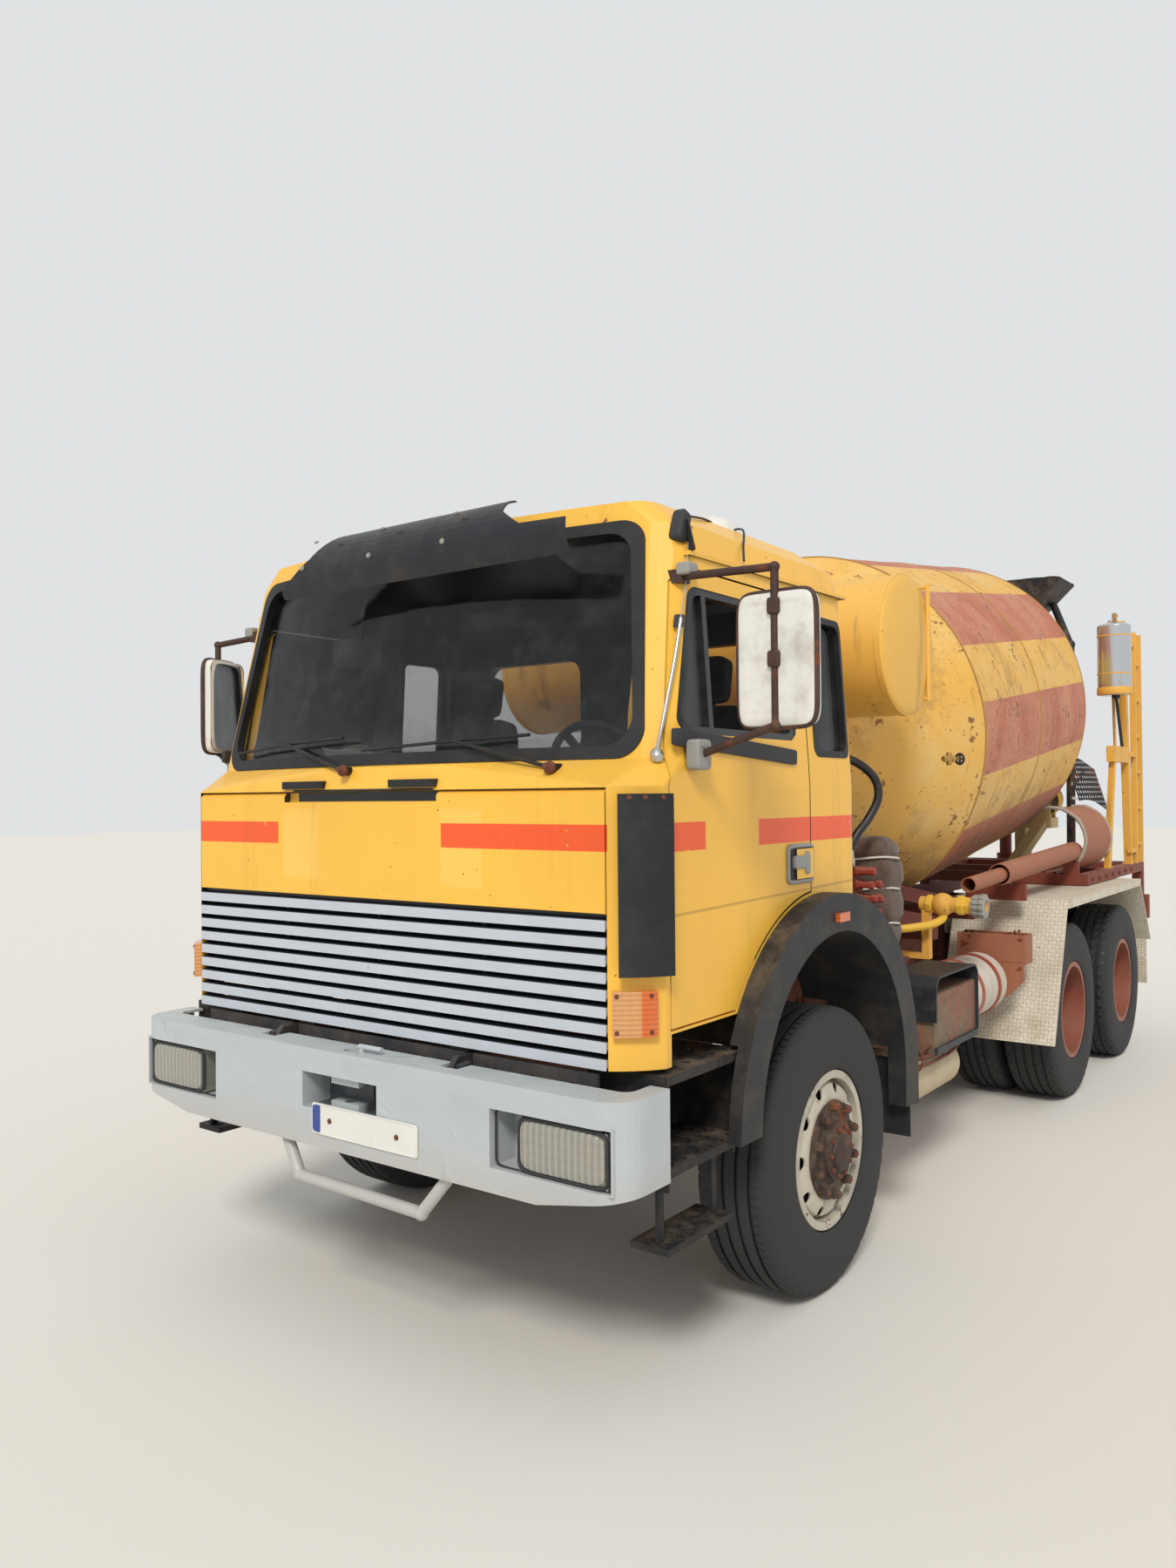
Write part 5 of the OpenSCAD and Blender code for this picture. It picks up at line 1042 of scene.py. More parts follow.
def build_mirrors():
    """Mirror shells in the tube's own frame: rounded blocks with two shallow channels, a round rim and a face let
    into the rear, all then folded about the tube's foot."""
    white, silver = mirror_white(), mirror_glass()
    foot = at(980, 0, 2311)

    def channels(q):
        sink = (0.004 * (q[..., 0] > 0) * np.exp(-((np.abs(q[..., 1]) - 0.055) / 0.03) ** 2)
                * (np.abs(q[..., 2]) < 0.17))
        return q - np.stack([sink, 0 * sink, 0 * sink], -1)

    for (tag, s), out, fold in zip(SIDES, (1.460, 1.300), (0.0, math.radians(70))):
        c, d = math.cos(fold), math.sin(fold)
        body, slot = f"door_{tag}", "mirror_shell"

        def folded(p):
            x, y = p[:, 0] * c - p[:, 1] * d, out + p[:, 0] * d + p[:, 1] * c
            return np.stack([foot[0] + x, foot[1] + s * y, foot[2] + p[:, 2]], -1)

        made = Shell().pillow((-0.0245, 0, 0), (0.061, 0.258, 0.408), (0.22, 0.28), None, 40, 96, channels)
        made.moved(folded, s < 0).piece(f"mirror_shell_{tag}", white, body, slot)
        rim = Shell().tube(ring_path((-0.012, 0, 0), LEFT, UP, 0.129, 0.204, 120, 0.26), 0.0105, 12, closed=True)
        for z in (0.160, 0.0):
            rim.pillow((0.002, 0, z), (0.036, 0.040, 0.052), (0.35, 0.35))
        rim.moved(folded, s < 0).piece(f"mirror_rim_{tag}", look("mirror_tube"), body, slot)
        outline = ring_path((0, 0, 0), FORE, LEFT, 0.114, 0.188, 80, 0.3)[:, :2]
        face = Shell().plate(outline, 0.003, (-0.0545, 0, 0), (0, -1, 0), UP)
        face.moved(folded, s < 0).piece(f"mirror_face_{tag}", silver, body, slot, 0.3)


def build_front():
    """Plate, lamp lenses in their rims, visor bolts, wiper caps: rounded blocks, loops of round rod, turned heads."""
    x_plate = 1432
    board = Shell().plate(rounded(0.52, 0.108, 0.012), 0.0025, at(x_plate, 127, 782), LEFT, UP)
    board.tube(ring_path(at(x_plate + 3, 127, 782), LEFT, UP, 0.257, 0.051, 96, 0.16), 0.0022, 8, closed=True)
    board.piece("number_board", look("blank_plate"), "chassis", TRIM, 0.4)
    band = Shell().plate(rounded(0.042, 0.094, 0.006), 0.001, at(x_plate + 3, -110, 782), LEFT, UP)
    band.piece("number_board_band", look("blue_band"), "chassis", TRIM, 0.4)
    heads = Shell().heads([at(x_plate + 3, y, 782) for y in (-40, 290)], FORE, 0.008, 0.005)
    heads.piece("number_board_bolts", look("rusty_bolt"), "chassis", TRIM, 0.4)
    lenses, rims = Shell(), Shell()
    for _, s in SIDES:
        lenses.pillow(at(1404, 965 * s, 846), (0.036, 0.318, 0.150), (0.30, 0.25), None, 24, 64)
        rims.tube(ring_path(at(1411, 965 * s, 846), LEFT, UP, 0.166, 0.082, 96, 0.25), 0.0065, 10, closed=True)
        rims.tube(ring_path(at(1404, 926 * s, 849), LEFT, UP, 0.226, 0.0895, 96, 0.16), 0.004, 8, closed=True)
    lenses.piece("headlamp_lenses", look("headlamp_lens"), "chassis", TRIM, 1.2)
    rims.piece("headlamp_rims", look("black_plastic"), "chassis", TRIM)
    bolts = Shell()
    visor_x, visor_z, visor_r = 1065, 2765, 155.5
    for y in (-430, -60, 310):
        for a in (8, 58):
            c, d = math.cos(math.radians(a)), math.sin(math.radians(a))
            bolts.heads([at(visor_x + visor_r * c, y, visor_z + visor_r * d)], (c, 0, d), 0.009, 0.006)
    bolts.piece("visor_bolts", look("casting_grey"), "cab", TRIM, 0.4)
    caps = Shell()
    for y, z in ((-145, 2000), (790, 1992)):
        x = 1265.5 - 62.4 * (y / 1020) ** 2
        caps.turned([(0.018, 0), (0.021, 0.004), (0.021, 0.014), (0.013, 0.022), (0.010, 0.034)], at(x, y, z),
                    (1, 0, 0.25), sides=24)
    caps.piece("wiper_caps", look("rusty_bolt"), "cab", TRIM)


def build_cab_trim():
    """Handles, trims, aerial, roof dome, brackets and screws of the cab."""
    grey, black, bolt = look("casting_grey"), look("black_plastic"), look("rusty_bolt")
    corner_x, corner_y = 952, 845
    for tag, s in SIDES:
        door = f"door_{tag}"
        handle = Shell().tube(ring_path(at(212, 1158 * s, 1645), FORE, UP, 0.100, 0.066, 80, 0.22), 0.009, 12,
                              closed=True)
        handle.pillow(at(232, 1166 * s, 1652), (0.10, 0.022, 0.050), (0.4, 0.35))
        handle.pillow(at(178, 1165 * s, 1648), (0.036, 0.026, 0.086), (0.4, 0.35))
        handle.piece(f"door_handle_{tag}", grey, door, TRIM)
        dark = Shell().pillow(at(212, 1157 * s, 1645), (0.192, 0.008, 0.124), (0.15, 0.2))
        dark.turned([(0.011, 0), (0.011, 0.004), (0.006, 0.006)], at(140, 1161 * s, 1618), (0, s, 0), sides=20)
        dark.pillow(at(646, 1149 * s, 2062), (0.84, 0.022, 0.056), (0.12, 0.12), turned_by(-3.4, "Y"), 16, 64)
        dark.piece(f"door_trim_{tag}", black, door, TRIM)
        clamp = Shell().pillow(at(966, 1180 * s, 2030), (0.085, 0.052, 0.098), (0.3, 0.3))
        clamp.pillow(at(925, 1118 * s, 2634), (0.064, 0.052, 0.042), (0.35, 0.3))
        clamp.heads([at(966 + q, 1205 * s, 2058) for q in (-20, 20)], (0, s, 0), 0.007, 0.006)
        clamp.piece(f"mirror_clamps_{tag}", grey, door, TRIM)
        screws = Shell()
        for a in (35, 51):
            c, d = math.cos(math.radians(a)), math.sin(math.radians(a))
            spots = [at(corner_x + 386 * c, (corner_y + 386 * d) * s, z) for z in (1186, 1296)]
            screws.heads(spots, (c, d * s, 0), 0.006, 0.004)
        screws.piece(f"lamp_screws_{tag}", bolt, "cab", TRIM, 0.4)
    vane = Shell()
    for a in (41, 48, 56):
        c, d = math.cos(math.radians(a)), math.sin(math.radians(a))
        vane.heads([at(corner_x + 409 * c, corner_y + 409 * d, 1896)], (c, d, 0), 0.007, 0.004)
    vane.piece("vane_screws", bolt, "cab", TRIM, 0.4)
    rod = Shell().turned([(0.004, -0.026), (0.018, -0.018), (0.024, 0), (0.018, 0.016), (0.008, 0.024)],
                         at(1092, 1104, 2027), UP, sides=24)
    rod.tube(path_at((1092, 1104, 2040), (1074, 1112, 2120), (1010, 1120, 2330), (966, 1118, 2470)), 0.0065, 12)
    rod.tube(path_at((966, 1118, 2470), (925, 1112, 2600), (884, 1098, 2730)), 0.0022, 8)
    rod.piece("aerial", look("chrome_rod"), "cab", TRIM)
    clip = Shell().plate(rounded(0.034, 0.044, 0.006), 0.004, at(968, 1112, 2462), (0.6, -0.8, 0), (-0.2, 0, 1))
    clip.pillow(at(892, 1072, 2786), (0.052, 0.050, 0.11), (0.35, 0.35), turned_by(-20, "Y"))
    clip.plate([(-0.03, -0.06), (0.02, -0.055), (0.028, 0.05), (-0.018, 0.064)], 0.004, at(880, 1098, 2756),
               (0.5, 0.86, 0), (0, -0.3, 1))
    clip.tube(path_at((885, 1068, 2800), (800, 1040, 2840), (640, 1000, 2872), (500, 960, 2890), (420, 900, 2900)),
              0.004, 8)
    clip.tube(path_at((300, 920, 2900), (330, 985, 2893), (420, 1050, 2852), (505, 1094, 2780), (545, 1118, 2722)),
              0.004, 8)
    clip.piece("aerial_bracket", black, "cab", TRIM, 0.7)
    dome = Shell().turned([(0.135, -0.012), (0.138, 0.0), (0.128, 0.020), (0.112, 0.045), (0.085, 0.068),
                           (0.045, 0.082), (0.012, 0.086)], at(300, 820, 2885), UP, sides=64)
    dome.piece("roof_dome", look("dome_white"), "cab", TRIM, 1.0)


def build_cab_inside():
    """Mirror inside, sheets on the dashboard and a folded cloth on the sill: rounded blocks, and sheets whose
    height rises by a power of the way in, with sine ripples both ways."""
    inside = Shell().pillow(at(872, -500, 2500), (0.034, 0.25, 0.125), (0.45, 0.4), turned_by(14, "Z"))
    inside.tube(path_at((880, -480, 2550), (905, -440, 2620), (915, -400, 2715)), 0.008, 12)
    inside.piece("inside_mirror", look("dash_plastic"), "cab", TRIM)
    sheets = Shell()
    u, v = np.meshgrid(np.linspace(0, 1, 24), np.linspace(0, 1, 32), indexing="ij")
    for k, (y0, y1, x0, x1, z0, z1) in enumerate(((-790, -400, 960, 1090, 2000, 2044),
                                                  (-520, -250, 950, 1075, 1996, 2100),
                                                  (-380, -120, 960, 1085, 1999, 2070)), 1):
        x, y = x0 + (x1 - x0) * u, y0 + (y1 - y0) * v + 12 * u * k
        z = z0 + (z1 - z0) * u ** 1.3 + 6 * np.sin(v * 7 + k) * u + 3 * np.sin(u * 9 + v * 4 * k)
        top = np.stack([x / 1000 + FRONT_AXLE, y / 1000 + SIDE, z / 1000], -1)
        low = top - [0, 0, 0.0012]
        sheets.grid(np.concatenate([top, low[:, ::-1]], 1), wrap_v=True, cap=True)
    sheets.piece("dash_sheets", look("sheet_paper"), "cab", TRIM, 0.9)

    def crumpled(q):
        lift = 0.010 * waves(q, 38.0, 4)
        return q + np.stack([0 * lift, 0 * lift, lift], -1)

    cloth = Shell().pillow(at(200, 1000, 2112), (0.24, 0.085, 0.05), (0.6, 0.5), None, 30, 60, crumpled)
    made = cloth.piece("red_cloth", woven("red_cloth", srgb(138, 48, 36), srgb(88, 34, 28), 700.0), "cab", TRIM, 1.2)


def round_axle(x, radius, out, s, k):
    """Point k of a ring of BOLTS points about an axle at x, out from the truck's middle on side s."""
    a = TAU * k / BOLTS
    return [x + radius * math.cos(a), SIDE + s * out, AXLE_Z + radius * math.sin(a)]


def build_discs():
    """Front discs in ten sectors: u runs from a hand hole to the sector's edge and back beneath, v round the hole,
    the height is a dished profile of the radius; hub flange, nuts and cap are turned."""
    cream = rim_finish("front_disc_cream", srgb(196, 190, 172), 1.0)
    iron = bare_steel("hub_iron", srgb(62, 48, 42), 0.55, 0.3, 0.6, 0.3)
    hub_r, hole_r, barrel_r, hole_half, hole_rise, thick = 0.10, 0.234, 0.2685, 0.025, 0.023, 0.012
    radii, heights = [hub_r, 0.196, 0.212, 0.246, 0.262, barrel_r], [0.140, 0.140, 0.138, 0.126, 0.092, 0.060]
    v = np.arange(72) / 72 * TAU
    c, d = np.cos(v), np.sin(v)
    reach = 1 / np.maximum(np.abs(c), np.abs(d))
    edge = np.where(d > 0, barrel_r - hole_r, hole_r - hub_r) * d * reach
    # Share of the way from the hole to the sector's edge, and the drop below the face.
    section = [(t, 0.0) for t in (1, 0.7, 0.4, 0.2, 0.08, 0.02)] + [(0, 0.002), (0, 0.010)]
    section += [(t, thick) for t in (0.02, 0.2, 0.6, 1)]
    for tag, s in SIDES:
        body = f"wheel_front_{tag}"
        disc = Shell()
        for k in range(BOLTS):
            rows = []
            for t, drop in section:
                a = (1 - t) * c * hole_half / hole_r + t * c * reach * math.pi / BOLTS + TAU * k / BOLTS
                r = hole_r + (1 - t) * d * hole_rise + t * edge
                y = SIDE + s * (FRONT_TRACK + np.interp(r, radii, heights) - drop)
                rows.append(np.stack([FRONT_AXLE + r * np.cos(a), y, AXLE_Z + r * np.sin(a)], -1))
            disc.grid(np.array(rows), wrap_u=True, wrap_v=True)
        disc.piece(f"front_disc_{tag}", cream, body, TRIM, 0.6)
        hub = Shell().turned([(0.186, 0.128), (0.186, 0.145), (0.182, 0.148), (0.128, 0.149), (0.122, 0.158),
                              (0.114, 0.163), (0.111, 0.177), (0.104, 0.181), (0.078, 0.183), (0.072, 0.193),
                              (0.058, 0.198)], (FRONT_AXLE, SIDE + s * FRONT_TRACK, AXLE_Z), (0, s, 0), sides=96,
                             wobble=lambda a, h: 0.0012 * np.sin(a * 7) * np.sin(h * 300))
        nuts = [round_axle(FRONT_AXLE, 0.1675, FRONT_TRACK + 0.148, s, k + 0.5) for k in range(BOLTS)]
        hub.heads(nuts, (0, s, 0), 0.0180, 0.030)
        hub.piece(f"front_hub_{tag}", iron, body, TRIM, 0.6)


def build_hubs():
    """Front discs, then stud ends and cap bolts of all wheels, turned and set in rings."""
    build_discs()
    for tag, s in SIDES:
        # Radius and distance out of the studs, then of the cap's bolts.
        for body, x, stud_r, stud_out, cap_r, cap_out in (
                (f"wheel_front_{tag}", FRONT_AXLE, 0.1675, 1.196, 0.092, 1.2125),
                (f"wheels_rear_1_{tag}", REAR_AXLES[0], 0.145, 0.9355, 0.092, 1.030),
                (f"wheels_rear_2_{tag}", REAR_AXLES[1], 0.145, 0.9355, 0.092, 1.030)):
            ring = Shell()
            for k in range(BOLTS):
                ring.turned([(0.0105, -0.002), (0.0105, 0.012), (0.007, 0.016)],
                            round_axle(x, stud_r, stud_out, s, k + 0.5), (0, s, 0), sides=12)
                ring.heads([round_axle(x, cap_r, cap_out, s, k)], (0, s, 0), 0.009, 0.009)
            ring.piece(f"{body}_studs", look("rusty_bolt"), body, TRIM, 0.5)


def build_drum_trim():
    """Weld beads round the drum, mixing blades inside its rear cone: closed loops, and helical strips whose root
    follows the cone's wall and whose width grows inward."""
    beads, bead_r = Shell(), 1.0705
    for along in DRUM_SEAMS:
        loop = ring_path(DRUM_SEAM + DRUM_AXIS * along, LEFT, DRUM_UP, bead_r, bead_r, 240)
        beads.tube(loop, chosen_size("weld_bead") / 2, 8, closed=True)
    beads.piece("drum_weld_beads", look("bead_yellow"), "drum", TRIM)
    blades = Shell()
    u, v = np.meshgrid(np.linspace(0, 1, 90), np.linspace(0, 1, 10), indexing="ij")
    run = 2.35 + u * 0.95
    wall = 1.058 - np.clip(run - DRUM_SEAMS[2], 0, None) * 0.375
    r = wall - 0.006 - 0.30 * v * (0.7 + 0.3 * u)
    for start in (0.0, math.pi):
        a = start + u * 3.6
        p = (DRUM_SEAM + run[..., None] * DRUM_AXIS + (r * np.cos(a))[..., None] * DRUM_UP
             + (r * np.sin(a))[..., None] * np.array(LEFT))
        q = p + DRUM_AXIS * 0.006
        blades.grid(np.concatenate([p, q[:, ::-1]], 1), wrap_v=True, cap=True)
    blades.piece("mixing_blades", look("cement_crust"), "drum", TRIM, 0.8)


def build_valves(pick):
    """Fittings of the valve block, hose ends, levers, and the water valve with its coupling: turned profiles and
    bent tubes."""
    fit = Shell()
    for i in range(3):
        for j in range(4):
            out = (40 + 55 * pick.random()) / 1000
            fit.turned([(0.021, 0), (0.021, 0.012), (0.015, 0.014), (0.015, out), (0.019, out + 0.001),
                        (0.019, out + 0.022), (0.011, out + 0.028)], at(-1000 + 32 * i, 880, 1355 + 62 * j), LEFT,
                       sides=6)
    for j in range(3):
        for i in range(4):
            fit.turned([(0.022, 0), (0.022, 0.016), (0.014, 0.018), (0.014, 0.045), (0.010, 0.050)],
                       at(-930, 650 + 62 * i, 1370 + 75 * j), FORE, sides=6)
    fit.turned([(0.034, 0), (0.034, 0.05), (0.026, 0.06), (0.026, 0.10), (0.034, 0.105), (0.034, 0.13)],
               at(-970, 905, 1170), UP, sides=24)
    fit.tube(path_at((-970, 905, 1180), (-972, 930, 1120), (-985, 935, 1060), (-1010, 900, 1010)), 0.016, 12)
    fit.piece("valve_fittings", look("fitting_red"), "chassis", TRIM, 0.5)
    ends = Shell()
    for y in (830, 750):
        ends.turned([(0.026, -0.004), (0.027, 0.0), (0.027, 0.036), (0.0225, 0.040), (0.0225, 0.075)],
                    at(-970, y, 1562), UP, sides=24)
    for y, z in ((160, 2050), (190, 2092)):
        ends.turned([(0.0225, 0), (0.0225, 0.034), (0.027, 0.038), (0.027, 0.07)], at(-985, y, z), (-0.35, -1, 0),
                    sides=24)
    for k, y in enumerate((690, 760, 850)):
        ends.tube(path_at((-945, y, 1560), (-935, y + 8, 1610), (-915 + 8 * k, y + 10, 1660 + 12 * k)), 0.006, 10)
    ends.plate(rounded(0.075, 0.05, 0.006), 0.004, at(-930, 905, 1250), (0.3, 1, 0), (0, 0.12, 1))
    ends.heads([at(-924, 880, 1232), at(-924, 930, 1268)], FORE, 0.006, 0.005)
    ends.piece("hose_ends", look("chrome_rod"), "chassis", TRIM, 0.5)
    lug = Shell().turned([(0.033, 0.0), (0.054, 0.0), (0.058, 0.012), (0.058, 0.040), (0.063, 0.046), (0.063, 0.066),
                          (0.048, 0.072), (0.033, 0.072)], at(-2030, 1064, 1300), LEFT, sides=96, closed=True,
                         wobble=lambda a, h: 0.0035 * np.where(h > 0.01, np.sign(np.sin(a * 12)), 0) * (h < 0.07))
    lug.piece("coupling_ring", look("casting_grey"), "chassis", TRIM, 0.5)
    valve = Shell().turned([(0.052, 0), (0.052, 0.03), (0.044, 0.034), (0.044, 0.06)], at(-2030, 985, 1300), LEFT,
                           sides=8)
    valve.turned([(0.042, 0), (0.05, 0.006), (0.05, 0.03), (0.042, 0.036)], at(-2030, 812, 1300), LEFT, sides=8)
    valve.tube(path_at((-2030, 905, 1250), (-2010, 900, 1222), (-1960, 860, 1196), (-1890, 780, 1180),
                       (-1850, 720, 1172)), 0.022, 16)
    valve.piece("valve_body_yellow", look("valve_yellow"), "chassis", TRIM, 0.6)


def build_cock():
    """Cock on the water tank: two turned bodies and a round wheel with two spokes."""
    x, y, z = -1220, 1195, 2064
    tap = Shell().turned([(0.011, 0), (0.016, 0.01), (0.016, 0.03), (0.010, 0.034), (0.010, 0.055), (0.015, 0.058),
                          (0.015, 0.075), (0.006, 0.08), (0.006, 0.11)], at(x, y, z), (-1, 0.4, 0), sides=16)
    tap.turned([(0.012, -0.03), (0.014, -0.02), (0.014, 0.02), (0.012, 0.03)], at(x - 40, y + 16, z), UP, sides=16)
    tap.piece("tank_cock", look("brass"), "chassis", TRIM, 0.6)
    centre = at(x - 108, y + 43, z)
    knob = Shell().tube(ring_path(centre, (0.37, 0.93, 0), UP, 0.024, 0.024, 32), 0.006, 10, closed=True)
    knob.pillow(centre, (0.014, 0.046, 0.010), (0.5, 0.5))
    knob.pillow(centre, (0.014, 0.010, 0.046), (0.5, 0.5))
    knob.piece("tank_cock_wheel", look("black_plastic"), "chassis", TRIM)


def build_tray(pick):
    """Open tray of bent sheet, its section carried along Y, full of loose rods and chain links."""
    width, rise, gauge = 0.147, 0.17, 0.006
    outer = np.array([[0.0, rise], [0.0, 0.008], [0.012, 0.0], [0.135, 0.0], [width, 0.008], [width, rise]])
    inner = outer + np.array([[gauge, 0], [gauge, 0.004], [0.004, gauge], [-0.004, gauge], [-gauge, 0.004],
                              [-gauge, 0]])
    loop = np.vstack([outer, inner[::-1]])
    rows = [np.stack([np.full(len(loop), FRONT_AXLE - 2.865) + loop[:, 0], np.full(len(loop), y + SIDE),
                      0.905 + loop[:, 1]], -1) for y in np.linspace(0.74, 1.13, 8)]
    tray = Shell().grid(np.array(rows), wrap_v=True, cap=True)
    tray.plate([(0, 0), (width, 0), (width, rise), (0, rise)], gauge, at(-2718, 1130, 905), (-1, 0, 0), UP)
    tray.plate([(0, 0), (0.40, 0), (0.40, -0.10), (0.30, -0.20), (0.05, -0.20), (0, -0.12)], 0.008,
               at(-2716, 730, 912), LEFT, UP)
    tray.piece("scrap_tray", look("terracotta_primer"), "chassis", TRIM, 0.4, 0.0015)
    scrap = Shell()
    for _ in range(26):
        c = at(-2792 + pick.uniform(-48, 48), 935 + pick.uniform(-170, 170), 1030 + pick.uniform(-60, 40))
        d = pick.normal(size=3) * [0.5, 1.0, 0.25]
        d /= np.linalg.norm(d)
        bend = pick.normal(size=3) * 0.018
        reach = pick.uniform(0.03, 0.065)
        scrap.tube(smooth_path([c - d * reach, c + bend, c + d * reach], 6), pick.uniform(0.004, 0.010), 8)
    for k in range(14):
        c = at(-2800 + 8 * math.sin(k), 860 + 19 * k, 1068 - 3 * k)
        across, upward = ((0, 1, 0.2), (0.2, 0, 1)) if k % 2 else ((0.4, 1, 0), (1, -0.4, 0.1))
        link = ring_path(c, np.array(across) / np.linalg.norm(across), upward, 0.016, 0.009, 20)
        scrap.tube(link, 0.0035, 7, closed=True)
    scrap.piece("tray_scrap", look("scrap_steel"), "chassis", TRIM)


def build_side_gear():
    """Fittings, cock, tray, a screwed patch on the mudguard and the brake pipes, along the left side."""
    pick = np.random.default_rng(11)
    build_valves(pick)
    build_cock()
    build_tray(pick)
    patch = Shell().plate(rounded(0.23, 0.125, 0.004), 0.004, at(-3096, 1020, 1016), LEFT, (-0.383, 0, 0.924))
    corners = [at(-3090 - 24 * q, 1020 + 100 * p, 1016 + 48 * q) for p in (-1, 1) for q in (-1, 1)]
    patch.heads(corners, (0.92, 0, 0.38), 0.007, 0.005)
    patch.piece("guard_patch", look("casting_grey"), "chassis", TRIM, 0.4)
    pipe = Shell()
    for k, (y, z, r) in enumerate(((1150, 700, 0.011), (1158, 668, 0.008), (1146, 735, 0.006))):
        pipe.tube(path_at((-760, y - 30, z + 20 * k), (-1000, y, z - 6), (-1250, y + 4, z - 22 + 10 * k),
                          (-1480, y - 4, z - 4), (-1690, y - 30, z + 42)), r, 10)
    for x in (-960, -1330):
        pipe.tube(ring_path(at(x, 1150, 694), LEFT, UP, 0.026, 0.05, 32), 0.004, 8, closed=True)
    pipe.piece("brake_pipes", look("rusty_bolt"), "chassis", TRIM)


def build_crust():
    """Cement on the rims of the loose chute and of the hopper: tubes whose path and radius follow layered waves."""
    crust, chute_y, chute_z, chute_r = Shell(), 0.860, 1.566, 0.231
    a = np.linspace(0, math.pi, 120) + math.radians(-10)
    for x in (-4350, -5100):
        rim = np.stack([np.full(len(a), x / 1000 + FRONT_AXLE), SIDE + chute_y + chute_r * np.sin(a),
                        chute_z + chute_r * np.cos(a)], -1)
        rim = rim + np.stack([0.010 * waves(rim, 26.0, 2), 0.006 * waves(rim, 40.0, 3),
                              0.006 * waves(rim, 33.0, 4)], -1)
        crust.tube(rim, 0.011 + 0.006 * np.abs(waves(rim, 70.0, 5, 4)), 12)
    crust.piece("chute_crust", look("cement_crust"), "chassis", TRIM, 1.0)
    rim = ring_path(at(-6130, 0, 3690), FORE, LEFT, 0.326, 0.556, 240, 0.33)
    rim[:, 2] += 0.006 * waves(rim, 18.0, 6)
    roll = Shell().tube(rim, 0.008 + 0.004 * np.abs(waves(rim, 50.0, 7)), 10, closed=True)
    roll.piece("hopper_rim", look("hopper_black"), "chassis", TRIM)


def build_vessel():
    """Valves, collar, bands and rod of the canister: turned profiles and bent tubes."""
    brass, top = Shell(), 3186
    for x, y, h in ((-5392, 1078, 0.07), (-5330, 1098, 0.05)):
        brass.turned([(0.014, 0), (0.014, 0.02), (0.009, 0.024), (0.009, h), (0.017, h + 0.002), (0.017, h + 0.018),
                      (0.008, h + 0.024)], at(x, y, top), UP, sides=12)
        tip = top + h * 1000
        brass.tube(path_at((x - 26, y, tip - 14), (x, y, tip - 8), (x + 30, y + 6, tip - 2)), 0.005, 8)
    brass.tube(path_at((-5420, 1050, 3172), (-5428, 1050, 3200), (-5360, 1050, 3216), (-5296, 1052, 3200),
                       (-5300, 1052, 3172)), 0.005, 8)
    brass.piece("vessel_valves", look("brass"), "chassis", TRIM)
    collar = Shell().turned([(0.094, 0.0), (0.124, 0.0), (0.126, 0.006), (0.126, 0.050), (0.122, 0.056),
                             (0.094, 0.056)], at(-5360, 1080, 2646), UP, sides=48, closed=True)
    for z in (2800, 3090):
        collar.turned([(0.1195, 0.0), (0.1225, 0.0), (0.1235, 0.005), (0.1225, 0.010), (0.1195, 0.010)],
                      at(-5360, 1080, z), UP, sides=48, closed=True)
    collar.tube([at(-5400, 1060, 2644), at(-5440, 1060, 2255)], 0.011, 12)
    collar.piece("vessel_collar", look("mixer_yellow"), "chassis", TRIM)
    rod = Shell().tube([at(-5350, 1090, 2652), at(-5420, 1090, 2500), at(-5560, 1086, 2256)], 0.012, 12)
    rod.turned([(0.024, 0), (0.030, 0.008), (0.030, 0.026), (0.020, 0.034)], at(-5350, 1090, 2616), UP, sides=24)
    rod.piece("vessel_rod", look("black_plastic"), "chassis", TRIM)


def build_rear_gear():
    """Crust, vessel fittings, perforated sheet on its stays, covers of the drum's rollers and rail bolts."""
    build_crust()
    build_vessel()
    u, v = np.meshgrid(np.linspace(0, 1, 20), np.linspace(0, 1, 14), indexing="ij")
    p = np.stack([(-5160 - 470 * u) / 1000 + FRONT_AXLE, SIDE + 0.76 + 0.10 * v + 0.10 * u,
                  (2165 - 330 * v - 60 * u + 26 * np.sin(u * 4)) / 1000], -1)
    made = Shell().grid(p).piece("perforated_plate", perforated(), "chassis", TRIM, 0.8)
    made.modifiers.new("Sheet", "SOLIDIFY").thickness = 0.004
    stay = Shell()
    for x0, z0, x1, z1 in ((-5200, 2150, -5340, 1960), (-5560, 2080, -5420, 1960), (-5180, 1860, -5600, 1850)):
        stay.tube([at(x0, 800, z0), at((x0 + x1) / 2, 790, (z0 + z1) / 2 - 5), at(x1, 760, z1)], 0.010, 10)
    stay.piece("plate_stays", look("chrome_rod"), "chassis", TRIM)
    covers, bolts = Shell(), Shell()
    half, inside, outside = 0.062, 0.122, 0.128
    a = np.linspace(math.radians(-100), math.radians(62), 40)
    for tag, s in SIDES:
        d = np.outer(np.cos(a), [0, s, 0]) + np.outer(np.sin(a), DRUM_UP)
        ring = [middle(f"roller_{tag}") + d * r + h * DRUM_AXIS
                for r, h in ((inside, -half), (inside, half), (outside, half), (outside, -half))]
        covers.grid(np.array(ring).transpose(1, 0, 2), wrap_v=True, cap=True)
        for x in range(-5900, -700, 330):
            bolts.heads([at(x + d, 431 * s, z) for d in (0, 60) for z in (855, 1010)], (0, s, 0), 0.013, 0.011)
        bolts.heads([at(-5700 + 210 * k, 1111 * s, 1292) for k in range(7)], (0, s, 0), 0.012, 0.010)
    covers.piece("roller_covers", look("valve_yellow"), "chassis", TRIM, 0.8)
    bolts.piece("rail_bolts", look("rusty_bolt"), "chassis", TRIM, 0.4)


